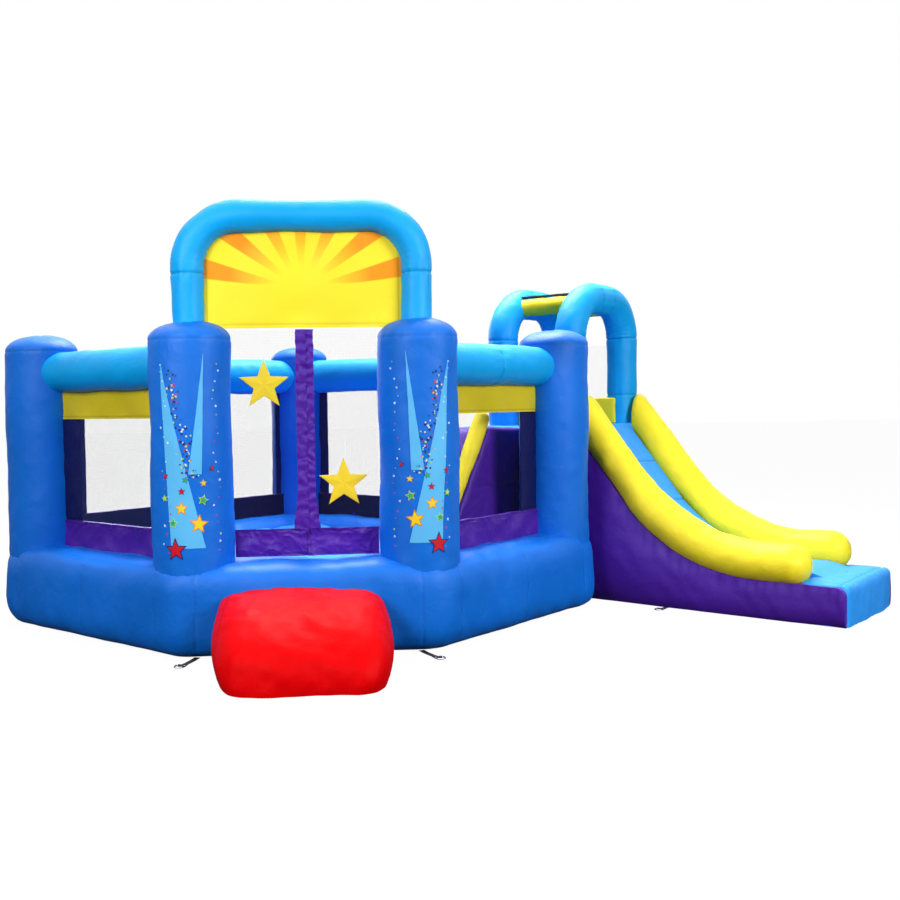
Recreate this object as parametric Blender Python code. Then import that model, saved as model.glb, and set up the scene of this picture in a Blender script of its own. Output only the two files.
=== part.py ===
"""Inflatable bounce house with a climbing wall, a tower and a curved slide.

Units are metres and +Z is up. The house is a square of inflated tubes with its front corner
cut off to make the entrance, which faces -Y. The tower and the slide stand outside the
back-right side and run parallel to it. Everything is modelled in plan coordinates whose
origin is the middle of the entrance; the last step moves the whole house so that the origin
is the middle of its footprint, on the ground.
"""

import math

import bmesh
import bpy
from mathutils import Matrix, Vector

# Driving dimensions of the house.
HALF_DOOR = 0.66
HALF_WIDE = 1.74
BASE_HEIGHT = 0.53
BASE_HALF_WIDTH = 0.265
BASE_SQUARENESS = 4.0
FLOOR_TOP = 0.46
COLUMN_RADIUS = 0.236
COLUMN_TOP = 1.918
COLUMN_DOME = 0.11
TOP_TUBE_RADIUS = 0.132
TOP_TUBE_Z = 1.665
LOW_WALL_TOP = 0.70
VALANCE_BOTTOM = 1.36
ARCH_RADIUS = 0.093
ARCH_TOP = 2.609
ARCH_CORNER = 0.29
SIGN_BOTTOM = 1.874
STEP_CENTRE_X = -0.045
STEP_HALF_WIDTH = 0.485
STEP_HEIGHT = 0.40
STEP_DEPTH = 0.78

# Driving dimensions of the tower and slide, in the lane's own axes: u runs down the slide,
# v runs out from the house.
LANE_INNER = 2.36
LANE_OUTER = 3.37
DECK_TOP = 1.25
DECK_THICKNESS = 0.12
TOWER_BACK_U = -0.37
TOWER_FRONT_U = 0.49
TOWER_ARCH_RADIUS = 0.114
TOWER_ARCH_US = (-0.238, 0.345)
TOWER_ARCH_TOP = 2.31
TOWER_ARCH_CORNER = 0.30
TOWER_NET_TOP = 1.86
RAIL_Z = 2.14
RAIL_RADIUS = 0.065
RAIL_INSET = 0.13
ROOF_NET_HALF_WIDTH = 0.14
SLIDE_ANGLE = math.radians(52)
SLIDE_BEND_RADIUS = 1.08
SLIDE_RUN_OUT_Z = 0.355
SLIDE_TOP_Z = 1.29
SLIDE_TUBE_RADIUS = 0.137
SLIDE_TUBE_END_U = 2.055
SLIDE_END_U = 2.297
SLIDE_TUBE_START_RADIUS = 0.15
SLIDE_TUBE_SPREAD = 0.014
SLIDE_BED_TUCK = 0.017
SLIDE_BED_DROP = 0.04
TOE_EDGE_RADIUS = 0.06
CLIMB_SLOPE = math.radians(57)
CLIMB_TOP_V = 1.57
CLIMB_BACK_V = 2.0
CLIMB_HALF_WIDTH = 0.22
CLIMB_CENTRE_U = 0.0
CLIMB_TUBE_RADIUS = 0.05
CLIMB_TUBE_OVERRUN = 0.05
POST_U = -0.50
POST_RADIUS = 0.11
POST_RISE = 0.02
POST_DOME = 0.05

# Driving dimensions of the blower, which stands behind the house at the end of its sleeve.
BLOWER_OUT = 1.06
BLOWER_RADIUS = 0.21
BLOWER_HALF_THICKNESS = 0.11
BLOWER_WALL = 0.01
OUTLET_OUT = 0.79
SLEEVE_RADIUS = 0.098
FAN_RADIUS = 0.165
FAN_HALF_DEPTH = 0.07
LID_THICKNESS = 0.008
GRIP_TOP = 0.51
SWITCH_RISE = 0.09

GAP = 0.0003
SEAM = 0.003
NET = 0.006
CLOTH = 0.012
PAD = 0.05
DOOR_CLEARANCE = 0.012
DOOR_TAPE = 0.048
DOOR_STAR_RADIUS = 0.151
DOOR_STARS = {"left": (0.236, 1.54), "right": (0.217, 0.963)}
ROUND_SIDES = 24
TUBE_SIDES = 16
DIAGONAL = math.sqrt(0.5)
UP = Vector((0, 0, 1))

CORNERS = {
    "front_left": Vector((-HALF_DOOR, 0, 0)),
    "front_right": Vector((HALF_DOOR, 0, 0)),
    "right": Vector((HALF_WIDE, HALF_WIDE - HALF_DOOR, 0)),
    "back": Vector((0, 2 * HALF_WIDE - HALF_DOOR, 0)),
    "left": Vector((-HALF_WIDE, HALF_WIDE - HALF_DOOR, 0)),
}
SIDES = {
    "entrance": ("front_left", "front_right"),
    "front_right": ("front_right", "right"),
    "back_right": ("right", "back"),
    "back_left": ("back", "left"),
    "front_left": ("left", "front_left"),
}


# --- materials ------------------------------------------------------------------------------

def material(name, colour, roughness, metallic=0.0):
    """A plain Principled material."""
    made = bpy.data.materials.new(name)
    made.use_nodes = True
    shader = made.node_tree.nodes["Principled BSDF"]
    shader.inputs["Base Color"].default_value = (*colour, 1.0)
    shader.inputs["Roughness"].default_value = roughness
    shader.inputs["Metallic"].default_value = metallic
    return made


def clear_scene():
    for thing in list(bpy.data.objects):
        bpy.data.objects.remove(thing, do_unlink=True)


# --- solids ---------------------------------------------------------------------------------

def finish(name, mesh, look, pivot=None, smooth=True):
    """Close, orient and place a bmesh as the named object, with its origin on the pivot."""
    bmesh.ops.remove_doubles(mesh, verts=mesh.verts, dist=0.00002)
    bmesh.ops.recalc_face_normals(mesh, faces=mesh.faces)
    if pivot is not None:
        bmesh.ops.translate(mesh, verts=mesh.verts, vec=-Vector(pivot))
    data = bpy.data.meshes.new(name)
    mesh.to_mesh(data)
    mesh.free()
    data.materials.append(look)
    if smooth:
        data.shade_smooth()
        data.set_sharp_from_angle(angle=math.radians(40))
    made = bpy.data.objects.new(name, data)
    if pivot is not None:
        made.location = pivot
    bpy.context.scene.collection.objects.link(made)
    return made


def loft(rings):
    """A closed bmesh through rings of equal length, with flat ends."""
    mesh = bmesh.new()
    rows = [[mesh.verts.new(point) for point in ring] for ring in rings]
    count = len(rings[0])
    for near, far in zip(rows, rows[1:]):
        for i in range(count):
            j = (i + 1) % count
            mesh.faces.new((near[i], near[j], far[j], far[i]))
    mesh.faces.new(rows[0])
    mesh.faces.new(rows[-1])
    return mesh


def slab(name, outline, place, low, high, look, pivot=None, smooth=False):
    """An outline of (a, b) points carried from depth low to depth high by place(a, depth, b)."""
    rings = [[place(a, depth, b) for a, b in outline] for depth in (low, high)]
    return finish(name, loft(rings), look, pivot, smooth)


def sweep(path, radius, sides, across):
    """Rings of a round tube along a flat path; across is the normal of the path's plane.

    The radius is one number, or one for each point of the path.
    """
    radii = radius if isinstance(radius, list) else [radius] * len(path)
    across = Vector(across)
    turns = [2 * math.pi * (k + 0.5) / sides for k in range(sides)]
    rings = []
    for i, point in enumerate(path):
        before = path[max(i - 1, 0)]
        after = path[min(i + 1, len(path) - 1)]
        other = (after - before).normalized().cross(across)
        rings.append([point + radii[i] * (math.cos(t) * across + math.sin(t) * other) for t in turns])
    return rings


def cut(target, cutter, operation="DIFFERENCE"):
    """Leave a boolean on the target that takes the cutter away from it, or joins it."""
    step = target.modifiers.new(cutter.name, "BOOLEAN")
    step.operation = operation
    step.object = cutter
    cutter.hide_render = True
    cutter.display_type = "WIRE"


def rectangle(a0, a1, b0, b1):
    return [(a0, b0), (a1, b0), (a1, b1), (a0, b1)]


def arc(centre, radius, start, end, steps):
    """Points on a circle from the start angle to the end angle, in degrees."""
    angles = [math.radians(start + (end - start) * k / steps) for k in range(steps + 1)]
    return [(centre[0] + radius * math.cos(t), centre[1] + radius * math.sin(t)) for t in angles]


def arch_outline(half_span, top, corner, bottom, steps=5):
    """An upside-down U, from its left foot over the top to its right foot."""
    left = arc((-half_span + corner, top - corner), corner, 180, 90, steps)
    right = arc((half_span - corner, top - corner), corner, 90, 0, steps)
    return [(-half_span, bottom), *left, *right, (half_span, bottom)]


def star_outline(centre, radius):
    """A five-pointed star, point up."""
    points = []
    for k in range(10):
        reach = radius if k % 2 == 0 else radius * 0.42
        turn = math.radians(90 + 36 * k)
        points.append((centre[0] + reach * math.cos(turn), centre[1] + reach * math.sin(turn)))
    return points


# --- places ---------------------------------------------------------------------------------

def side_place(side):
    """Coordinates along a side: s from its first corner, out from its centre line, and z."""
    start, end = (CORNERS[name] for name in SIDES[side])
    along = (end - start).normalized()
    outward = along.cross(UP)

    def place(s, out, z):
        return start + s * along + out * outward + z * UP

    return place, (end - start).length


def lane(u, v, z):
    """A point in the lane's axes: u down the slide, v out from the house."""
    return Vector(((u + v) * DIAGONAL, (v - u) * DIAGONAL, z))


def level(u, z, v):
    """The same point for an outline that is drawn in plan and raised from one height to another."""
    return lane(u, v, z)


LANE_U = lane(1, 0, 0)
LANE_V = lane(0, 1, 0)
WALL_V = (2 * HALF_WIDE - HALF_DOOR) * DIAGONAL


# --- the house ------------------------------------------------------------------------------

def base_profile():
    """Cross-section of a base tube: a rounded square standing on a flat strip, as (out, z)."""
    points = []
    for k in range(TUBE_SIDES):
        turn = 2 * math.pi * (k + 0.5) / TUBE_SIDES
        c, s = math.cos(turn), math.sin(turn)
        power = 2 / BASE_SQUARENESS
        points.append((math.copysign(abs(c) ** power, c), math.copysign(abs(s) ** power, s)))
    widest = max(out for out, _ in points)
    tallest = max(z for _, z in points)
    half = BASE_HEIGHT / 2
    return [(BASE_HALF_WIDTH * out / widest, half + half * z / tallest) for out, z in points]


def half_turn_at(corner):
    """Half of the angle that the outline turns through at a corner."""
    order = list(CORNERS)
    i = order.index(corner)
    before = CORNERS[corner] - CORNERS[order[i - 1]]
    after = CORNERS[order[(i + 1) % len(order)]] - CORNERS[corner]
    return before.angle(after) / 2


def make_base(looks):
    """Five tubes, mitred on the inside and rounded on the outside of each corner."""
    steps = 3
    for side, (first, last) in SIDES.items():
        place, length = side_place(side)
        rings = []
        for end, turn in ((0, half_turn_at(first)), (1, half_turn_at(last))):
            sign = -1 if end == 0 else 1
            for k in range(steps + 1):
                share = 1 - k / steps if end == 0 else k / steps
                ring = []
                for out, z in base_profile():
                    if out > 0:
                        s = sign * out * math.sin(turn * share)
                        reach = out * math.cos(turn * share)
                    else:
                        s = sign * out * math.tan(turn)
                        reach = out
                    s = s + end * length - sign * GAP / 2
                    ring.append(place(s, reach, z))
                rings.append(ring)
        finish("base_tube_" + side, loft(rings), looks["blue"])


def make_floor(looks):
    """The bouncing floor, a thick pentagon inside the base tubes."""
    inset = BASE_HALF_WIDTH + GAP
    names = list(CORNERS)
    outline = []
    for name in names:
        turn = half_turn_at(name)
        i = names.index(name)
        before = (CORNERS[name] - CORNERS[names[i - 1]]).normalized()
        after = (CORNERS[names[(i + 1) % len(names)]] - CORNERS[name]).normalized()
        inward = (after - before).normalized()
        corner = CORNERS[name] + inward * inset / math.cos(turn)
        outline.append((corner.x, corner.y))
    slab("bounce_floor", outline, lambda x, z, y: Vector((x, y, z)), 0, FLOOR_TOP, looks["pale_blue"])


def column_rings(centre, radius, bottom, top, dome):
    """Rings of an upright round column with a drawn-in foot and a domed top."""
    foot_radius = 0.93 * radius
    foot_height = 0.03
    apex_radius = 0.05 * radius
    profile = [(foot_radius, bottom), (radius, bottom + foot_height), (radius, top - dome)]
    for turn in (20, 41, 61, 82):
        angle = math.radians(turn)
        profile.append((radius * math.cos(angle), top - dome + dome * math.sin(angle)))
    profile.append((apex_radius, top))
    turns = [2 * math.pi * k / ROUND_SIDES for k in range(ROUND_SIDES)]
    rings = []
    for reach, z in profile:
        ring = [centre + Vector((reach * math.cos(t), reach * math.sin(t), z)) for t in turns]
        rings.append(ring)
    return rings


def make_columns(looks):
    """Five domed columns, and for each a slightly larger guide that trims what meets it."""
    guides = {}
    for name, centre in CORNERS.items():
        rings = column_rings(centre, COLUMN_RADIUS, BASE_HEIGHT + GAP, COLUMN_TOP, COLUMN_DOME)
        finish("column_" + name, loft(rings), looks["blue"])
        around = column_rings(centre, COLUMN_RADIUS + GAP, BASE_HEIGHT, COLUMN_TOP + GAP, COLUMN_DOME)
        guides[name] = finish("guide_" + name, loft(around), looks["blue"])
    centre = lane(POST_U, WALL_V, 0)
    post_top = TOP_TUBE_Z + TOP_TUBE_RADIUS + POST_RISE
    rings = column_rings(centre, POST_RADIUS, BASE_HEIGHT + GAP, post_top, POST_DOME)
    finish("gate_post", loft(rings), looks["blue"])
    around = column_rings(centre, POST_RADIUS + GAP, BASE_HEIGHT, post_top + GAP, POST_DOME)
    guides["post"] = finish("guide_post", loft(around), looks["blue"])
    return guides


def make_top_tubes(looks, guides):
    """Round tubes between the columns; the back-right one stops at the gate post."""
    inside_column = 0.03
    for side, (first, last) in SIDES.items():
        if side == "entrance":
            continue
        start = CORNERS[first] + TOP_TUBE_Z * UP
        end = CORNERS[last] + TOP_TUBE_Z * UP
        if side == "back_right":
            first = "post"
            start = lane(POST_U, WALL_V, TOP_TUBE_Z)
        along = (end - start).normalized()
        path = [start + inside_column * along, end - inside_column * along]
        rings = sweep(path, TOP_TUBE_RADIUS, TUBE_SIDES, UP)
        tube = finish("top_tube_" + side, loft(rings), looks["sky"])
        cut(tube, guides[first])
        cut(tube, guides[last])


def make_arch(looks, guides):
    """The entrance arch, standing on the two front columns."""
    inside_dome = COLUMN_TOP - 0.09
    outline = arch_outline(HALF_DOOR, ARCH_TOP - ARCH_RADIUS, ARCH_CORNER, inside_dome)
    path = [Vector((x, 0, z)) for x, z in outline]
    arch = finish("entrance_arch", loft(sweep(path, ARCH_RADIUS, TUBE_SIDES, (0, 1, 0))), looks["sky"])
    cut(arch, guides["front_left"])
    cut(arch, guides["front_right"])


def make_sign(looks):
    """The panel that fills the arch; its lower edge dips between the columns."""
    half = HALF_DOOR - ARCH_RADIUS - SEAM
    top = ARCH_TOP - 2 * ARCH_RADIUS - SEAM
    dip = HALF_DOOR - COLUMN_RADIUS - 0.02
    half_depth = 0.03
    shoulder = COLUMN_TOP + SEAM
    outline = arch_outline(half, top, ARCH_CORNER - ARCH_RADIUS, shoulder)
    outline += [(dip, shoulder), (dip, SIGN_BOTTOM), (-dip, SIGN_BOTTOM), (-dip, shoulder)]
    slab("sign_panel", outline, lambda x, y, z: Vector((x, y, z)), -half_depth, half_depth,
         looks["yellow"])


def make_door(looks):
    """Two net flaps hinged on the front columns, each with a purple border and a star."""
    hinge_x = HALF_DOOR - COLUMN_RADIUS - DOOR_CLEARANCE
    top = SIGN_BOTTOM - 3 * SEAM
    bottom = BASE_HEIGHT + 2 * SEAM
    meet = 2 * GAP
    for name, sign in (("left", -1), ("right", 1)):
        pivot = Vector((sign * hinge_x, 0, 0))

        def place(x, y, z, sign=sign):
            return Vector((sign * x, y, z))

        net = rectangle(DOOR_TAPE + GAP, hinge_x, LOW_WALL_TOP + GAP, top)
        slab("door_net_" + name, net, place, -NET / 2, NET / 2, looks["net"], pivot)
        border = [(meet, bottom), (hinge_x, bottom), (hinge_x, LOW_WALL_TOP)]
        border += [(DOOR_TAPE, LOW_WALL_TOP), (DOOR_TAPE, top), (meet, top)]
        slab("door_border_" + name, border, place, -CLOTH / 2, CLOTH / 2, looks["purple"], pivot)
        star = star_outline(DOOR_STARS[name], DOOR_STAR_RADIUS)
        front = -NET / 2 - GAP
        slab("door_star_" + name, star, place, front - NET, front, looks["yellow"], pivot)


def side_panels(side, start, end, looks, valance):
    """A low wall, a net above it and, on the front sides, a yellow valance."""
    place, _ = side_place(side)
    top = TOP_TUBE_Z - TOP_TUBE_RADIUS - SEAM
    low = rectangle(start, end, BASE_HEIGHT + GAP, LOW_WALL_TOP)
    slab("low_wall_" + side, low, place, -PAD / 2, PAD / 2, looks["purple"])
    net_top = VALANCE_BOTTOM - GAP if valance else top
    if valance:
        band = rectangle(start, end, VALANCE_BOTTOM, top)
        slab("valance_" + side, band, place, -CLOTH / 2, CLOTH / 2, looks["yellow"])
    net = rectangle(start, end, LOW_WALL_TOP + GAP, net_top)
    slab("net_" + side, net, place, -NET / 2, NET / 2, looks["net"])


def make_panels(looks):
    clear = COLUMN_RADIUS + SEAM
    for side in ("front_right", "front_left", "back_left", "back_right"):
        _, length = side_place(side)
        start = clear
        if side == "back_right":
            start = (CORNERS["right"] - lane(POST_U, WALL_V, 0)).length + POST_RADIUS + SEAM
        side_panels(side, start, length - clear, looks, side.startswith("front"))


def make_step(looks):
    """The soft step in front of the entrance, rounded off towards the ground and the ends."""
    squareness = 2.2
    end_squareness = 7
    back = -BASE_HALF_WIDTH - GAP
    rings = []
    for share in (-1, -0.95, -0.8, -0.45, 0, 0.45, 0.8, 0.95, 1):
        fall = (1 - (0.985 * abs(share)) ** end_squareness) ** 0.33
        depth = STEP_DEPTH * fall
        height = STEP_HEIGHT * (0.75 + 0.25 * fall)
        ring = [(back, 0)]
        for k in range(8):
            turn = math.radians(90 * k / 7)
            reach = math.sin(turn) ** (2 / squareness)
            rise = math.cos(turn) ** (2 / squareness)
            ring.append((back - depth * reach, height * rise))
        x = STEP_CENTRE_X + share * STEP_HALF_WIDTH
        rings.append([Vector((x, y, z)) for y, z in ring])
    finish("entrance_step", loft(rings), looks["red"])


# --- the climbing wall and the tower -------------------------------------------------------------

def make_climb(looks):
    """A wedge that leans up to the deck, with a round tube along each edge of its slope."""
    slope = math.tan(CLIMB_SLOPE)
    foot_z = FLOOR_TOP + GAP
    foot_v = CLIMB_TOP_V - (DECK_TOP - foot_z) / slope
    low, high = CLIMB_CENTRE_U - CLIMB_HALF_WIDTH, CLIMB_CENTRE_U + CLIMB_HALF_WIDTH
    base_v = WALL_V - BASE_HALF_WIDTH - SEAM
    over_base = BASE_HEIGHT + GAP
    outline = [(foot_v, foot_z), (base_v, foot_z), (base_v, over_base), (CLIMB_BACK_V, over_base)]
    outline += [(CLIMB_BACK_V, DECK_TOP), (CLIMB_TOP_V, DECK_TOP)]

    def place(v, u, z):
        return lane(u, v, z)

    slab("climbing_wall", outline, place, low, high, looks["purple"])
    lift = CLIMB_TUBE_RADIUS + SEAM
    foot_clearance = 0.03
    for name, u in (("left", low + CLIMB_TUBE_RADIUS), ("right", high - CLIMB_TUBE_RADIUS)):
        path = []
        for v in (foot_v + foot_clearance, CLIMB_TOP_V + CLIMB_TUBE_OVERRUN):
            z = foot_z + (v - foot_v) * slope
            path.append(lane(u, v - lift * math.sin(CLIMB_SLOPE), z + lift * math.cos(CLIMB_SLOPE)))
        rings = sweep(path, CLIMB_TUBE_RADIUS, TUBE_SIDES, LANE_U)
        finish("climb_tube_" + name, loft(rings), looks["yellow"])


def make_tower(looks):
    """The block under the deck, the deck, two arches, their rails, and the nets."""
    inner = WALL_V + BASE_HALF_WIDTH + SEAM
    block = rectangle(TOWER_BACK_U, TOWER_FRONT_U, inner, LANE_OUTER)
    under = DECK_TOP - DECK_THICKNESS
    slab("tower_base", block, level, 0, under - GAP, looks["purple"])
    column_u = HALF_DOOR * DIAGONAL - COLUMN_RADIUS - SEAM
    start = CLIMB_BACK_V + GAP
    deck = [(TOWER_BACK_U, start), (column_u, start), (column_u, inner), (TOWER_FRONT_U, inner)]
    deck += [(TOWER_FRONT_U, LANE_OUTER), (TOWER_BACK_U, LANE_OUTER)]
    slab("tower_deck", deck, level, under, DECK_TOP, looks["pale_blue"])

    middle = (LANE_INNER + LANE_OUTER) / 2
    half_span = (LANE_OUTER - LANE_INNER) / 2 - TOWER_ARCH_RADIUS
    centre_top = TOWER_ARCH_TOP - TOWER_ARCH_RADIUS
    outline = arch_outline(half_span, centre_top, TOWER_ARCH_CORNER, DECK_TOP + GAP)
    for name, u in zip(("back", "front"), TOWER_ARCH_US):
        path = [lane(u, middle + across, z) for across, z in outline]
        rings = sweep(path, TOWER_ARCH_RADIUS, TUBE_SIDES, LANE_U)
        finish("tower_arch_" + name, loft(rings), looks["sky"])

    rail_start = TOWER_ARCH_US[0] + TOWER_ARCH_RADIUS + SEAM
    rail_end = TOWER_ARCH_US[1] - TOWER_ARCH_RADIUS - SEAM
    for name, sign in (("near", -1), ("far", 1)):
        v = middle + sign * (half_span - RAIL_INSET)
        path = [lane(rail_start, v, RAIL_Z), lane(rail_end, v, RAIL_Z)]
        rings = sweep(path, RAIL_RADIUS, TUBE_SIDES, LANE_V)
        finish("tower_rail_" + name, loft(rings), looks["yellow"])

    roof_near, roof_far = middle - ROOF_NET_HALF_WIDTH, middle + ROOF_NET_HALF_WIDTH
    roof = rectangle(rail_start, rail_end, roof_near, roof_far)
    slab("tower_roof_net", roof, level, centre_top - NET, centre_top, looks["black"])

    inside = TOWER_ARCH_RADIUS + SEAM
    back = TOWER_ARCH_US[0] + inside
    far = LANE_OUTER - TOWER_ARCH_RADIUS - inside
    near = LANE_INNER + TOWER_ARCH_RADIUS
    front = TOWER_ARCH_US[1]
    guard = [(back, near), (back + NET, near), (back + NET, far - NET)]
    guard += [(front, far - NET), (front, far), (back, far)]
    slab("tower_net", guard, level, DECK_TOP + GAP, TOWER_NET_TOP, looks["net"])


# --- the slide ----------------------------------------------------------------------------------

def slide_line(lift, start_u, end_u, steps=9):
    """The slide's side view, lifted square to its tubes' centre line: straight, bent, level."""
    bend_top_z = SLIDE_RUN_OUT_Z + SLIDE_BEND_RADIUS * (1 - math.cos(SLIDE_ANGLE))
    bend_top_u = TOWER_FRONT_U + (SLIDE_TOP_Z - bend_top_z) / math.tan(SLIDE_ANGLE)
    centre_u = bend_top_u + SLIDE_BEND_RADIUS * math.sin(SLIDE_ANGLE)
    centre = (centre_u, SLIDE_RUN_OUT_Z + SLIDE_BEND_RADIUS)
    bend = arc(centre, SLIDE_BEND_RADIUS - lift, 270 - math.degrees(SLIDE_ANGLE), 270, steps)
    rise = (bend[0][0] - start_u) * math.tan(SLIDE_ANGLE)
    return [(start_u, bend[0][1] + rise), *bend, (end_u, bend[-1][1])]


def slide_tube(v, start, end):
    """Rings of one edge tube: upright where it leaves the tower, rounded off at its foot."""
    radius = SLIDE_TUBE_RADIUS
    rounding = 0.8 * radius
    last_turn = 65
    upright = 0.14
    line = slide_line(0, start, end - rounding)
    line[0] = (start + upright, line[0][1] - upright * math.tan(SLIDE_ANGLE))
    radii = [radius] * len(line)
    foot_u, foot_z = line[-1]
    for turn in (35, last_turn):
        angle = math.radians(turn)
        reach = rounding * math.sin(angle) / math.sin(math.radians(last_turn))
        line.append((foot_u + reach, foot_z))
        radii.append(radius * math.cos(angle))
    rings = sweep([lane(u, v, z) for u, z in line], radii, TUBE_SIDES, LANE_V)
    top = [lane(start, v, SLIDE_TOP_Z), lane(start + GAP, v, SLIDE_TOP_Z)]
    return [sweep(top, SLIDE_TUBE_START_RADIUS, TUBE_SIDES, LANE_V)[0], *rings]


def make_slide(looks):
    """The slide's body, its bed, the round tube along each edge and the soft toe."""
    start = TOWER_FRONT_U + SEAM
    radius = SLIDE_TUBE_RADIUS
    end = SLIDE_TUBE_END_U
    under = radius + SEAM
    body = [(start, 0), *slide_line(-under, start, end), (end, 0)]
    slab("slide_body", body, lane, LANE_INNER, LANE_OUTER, looks["purple"])
    bed = slide_line(-radius, start, end) + slide_line(-SLIDE_BED_DROP, start, end)[::-1]
    inner = LANE_INNER + 2 * radius - SLIDE_BED_TUCK
    outer = LANE_OUTER - 2 * radius + SLIDE_BED_TUCK
    slab("slide_bed", bed, lane, inner, outer, looks["sky"])
    beside = radius + SLIDE_TUBE_SPREAD
    for name, v in (("near", inner - beside), ("far", outer + beside)):
        finish("slide_tube_" + name, loft(slide_tube(v, start, end)), looks["yellow"])
    toe_start = end + SEAM
    toe_top = SLIDE_RUN_OUT_Z - radius + SLIDE_BED_DROP
    edge = TOE_EDGE_RADIUS
    round_edge = arc((SLIDE_END_U - edge, toe_top - edge), edge, 90, 0, 4)
    toe = [(toe_start, 0), (toe_start, toe_top), *round_edge, (SLIDE_END_U, 0)]
    slab("slide_toe", toe, lane, LANE_INNER, LANE_OUTER, looks["sky"])


# --- tie-downs ------------------------------------------------------------------------------------

def ring_mesh(path, radius):
    """A round bar along a closed path that lies flat."""
    mesh = bmesh.new()
    sides = 8
    rows = []
    for i, point in enumerate(path):
        before = (point - path[i - 1]).normalized()
        after = (path[(i + 1) % len(path)] - point).normalized()
        along = (before + after).normalized()
        outward = along.cross(UP) / along.dot(after)
        row = []
        for k in range(sides):
            turn = 2 * math.pi * (k + 0.5) / sides
            row.append(mesh.verts.new(point + radius * (outward * math.cos(turn) + UP * math.sin(turn))))
        rows.append(row)
    for i, near in enumerate(rows):
        far = rows[(i + 1) % len(rows)]
        for k in range(sides):
            j = (k + 1) % sides
            mesh.faces.new((near[k], near[j], far[j], far[k]))
    return mesh


def make_anchor(name, foot, outward, looks):
    """A strap with a hooked end on the ground, and a D-ring that swings in the hook."""
    outward = Vector(outward).normalized()
    across = outward.cross(UP)

    def place(out, side, z):
        return foot + out * outward + side * across + z * UP

    reach = 0.09
    bar = 0.004
    strap = 0.0025
    half_strap_width = 0.018
    hole = bar + 0.001
    height = hole + strap
    wrap = arc((reach, height), hole + strap, -90, 170, 10)
    inside = arc((reach, height), hole, 170, -90, 10)
    strip = [(0, 0), *wrap, *inside, (0, strap)]
    slab("anchor_strap_" + name, strip, place, -half_strap_width, half_strap_width,
         looks["black"])
    half_width = 0.027
    bow = arc((reach + half_strap_width, 0), half_width, -90, 90, 12)
    flat = [(reach, -half_width), *bow, (reach, half_width)]
    ring = ring_mesh([place(out, side, height) for out, side in flat], bar)
    finish("anchor_ring_" + name, ring, looks["steel"], place(reach, 0, height))


def make_anchors(looks):
    foot_x = HALF_DOOR + 0.02
    splay = 0.4
    for name, sign in (("left", -1), ("right", 1)):
        foot = Vector((sign * foot_x, -BASE_HALF_WIDTH - SEAM, 0))
        make_anchor(name, foot, (sign * splay, -1, 0), looks)


# --- the blower -----------------------------------------------------------------------------------

def blower_place(out, side, z):
    """Coordinates of the blower: out from the middle of the back-left side, along it, and z."""
    place, length = side_place("back_left")
    return place(length / 2 + side, out, z)


def blower_outline(radius, reach):
    """Side view of the fan housing with its outlet along the ground, as (out, z)."""
    shell = arc((BLOWER_OUT, BLOWER_RADIUS), radius, -90, 180, 18)
    return [(reach, BLOWER_RADIUS - radius), *shell, (reach, BLOWER_RADIUS)]


def make_sleeve(looks):
    """The cloth tube that carries air from the blower to the house."""
    start = BASE_HALF_WIDTH + SEAM
    length = OUTLET_OUT - BLOWER_WALL - SEAM - start
    waist = 0.01
    steps = 6
    rings = []
    for k in range(steps + 1):
        radius = SLEEVE_RADIUS - waist * math.sin(math.pi * k / steps)
        out = start + length * k / steps
        turns = [2 * math.pi * (i + 0.5) / TUBE_SIDES for i in range(TUBE_SIDES)]
        ring = [(radius * math.cos(t), SLEEVE_RADIUS + radius * math.sin(t)) for t in turns]
        rings.append([blower_place(out, side, z) for side, z in ring])
    finish("inflation_sleeve", loft(rings), looks["blue"])


def make_blower_case(looks):
    """The hollow housing, open at its outlet and on the lid's side, with a carrying grip."""
    half = BLOWER_HALF_THICKNESS
    inner = BLOWER_RADIUS - BLOWER_WALL
    case = slab("blower_case", blower_outline(BLOWER_RADIUS, OUTLET_OUT), blower_place,
                -half, half, looks["charcoal"])
    room = slab("guide_room", blower_outline(inner, OUTLET_OUT - BLOWER_WALL), blower_place,
                BLOWER_WALL - half, BLOWER_WALL + half, looks["charcoal"])
    cut(case, room)
    sunk = 0.025
    grip_line = arch_outline(0.08, GRIP_TOP, 0.03, 2 * BLOWER_RADIUS - sunk, 3)
    grip_path = [blower_place(BLOWER_OUT + out, 0, z) for out, z in grip_line]
    across = blower_place(0, 1, 0) - blower_place(0, 0, 0)
    grip = finish("guide_grip", loft(sweep(grip_path, 0.014, 8, across)), looks["charcoal"])
    cut(case, grip, "UNION")


def make_blower_lid(looks):
    """The flat lid with a round field of intake slots."""
    half = BLOWER_HALF_THICKNESS
    lid = slab("blower_lid", blower_outline(BLOWER_RADIUS, OUTLET_OUT), blower_place,
               half + GAP, half + LID_THICKNESS, looks["charcoal"])
    field = 0.125
    pitch = 0.034
    slot_height = 0.02
    slots = bmesh.new()
    for k in range(-3, 4):
        rise = pitch * k
        wide = 2 * math.sqrt(field ** 2 - rise ** 2)
        spot = Matrix.Translation((BLOWER_OUT, half, BLOWER_RADIUS + rise))
        shape = Matrix.Diagonal((wide, BLOWER_HALF_THICKNESS, slot_height, 1))
        bmesh.ops.create_cube(slots, size=1, matrix=spot @ shape)
    for vert in slots.verts:
        vert.co = blower_place(*vert.co)
    cut(lid, finish("guide_slots", slots, looks["charcoal"], smooth=False))


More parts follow.
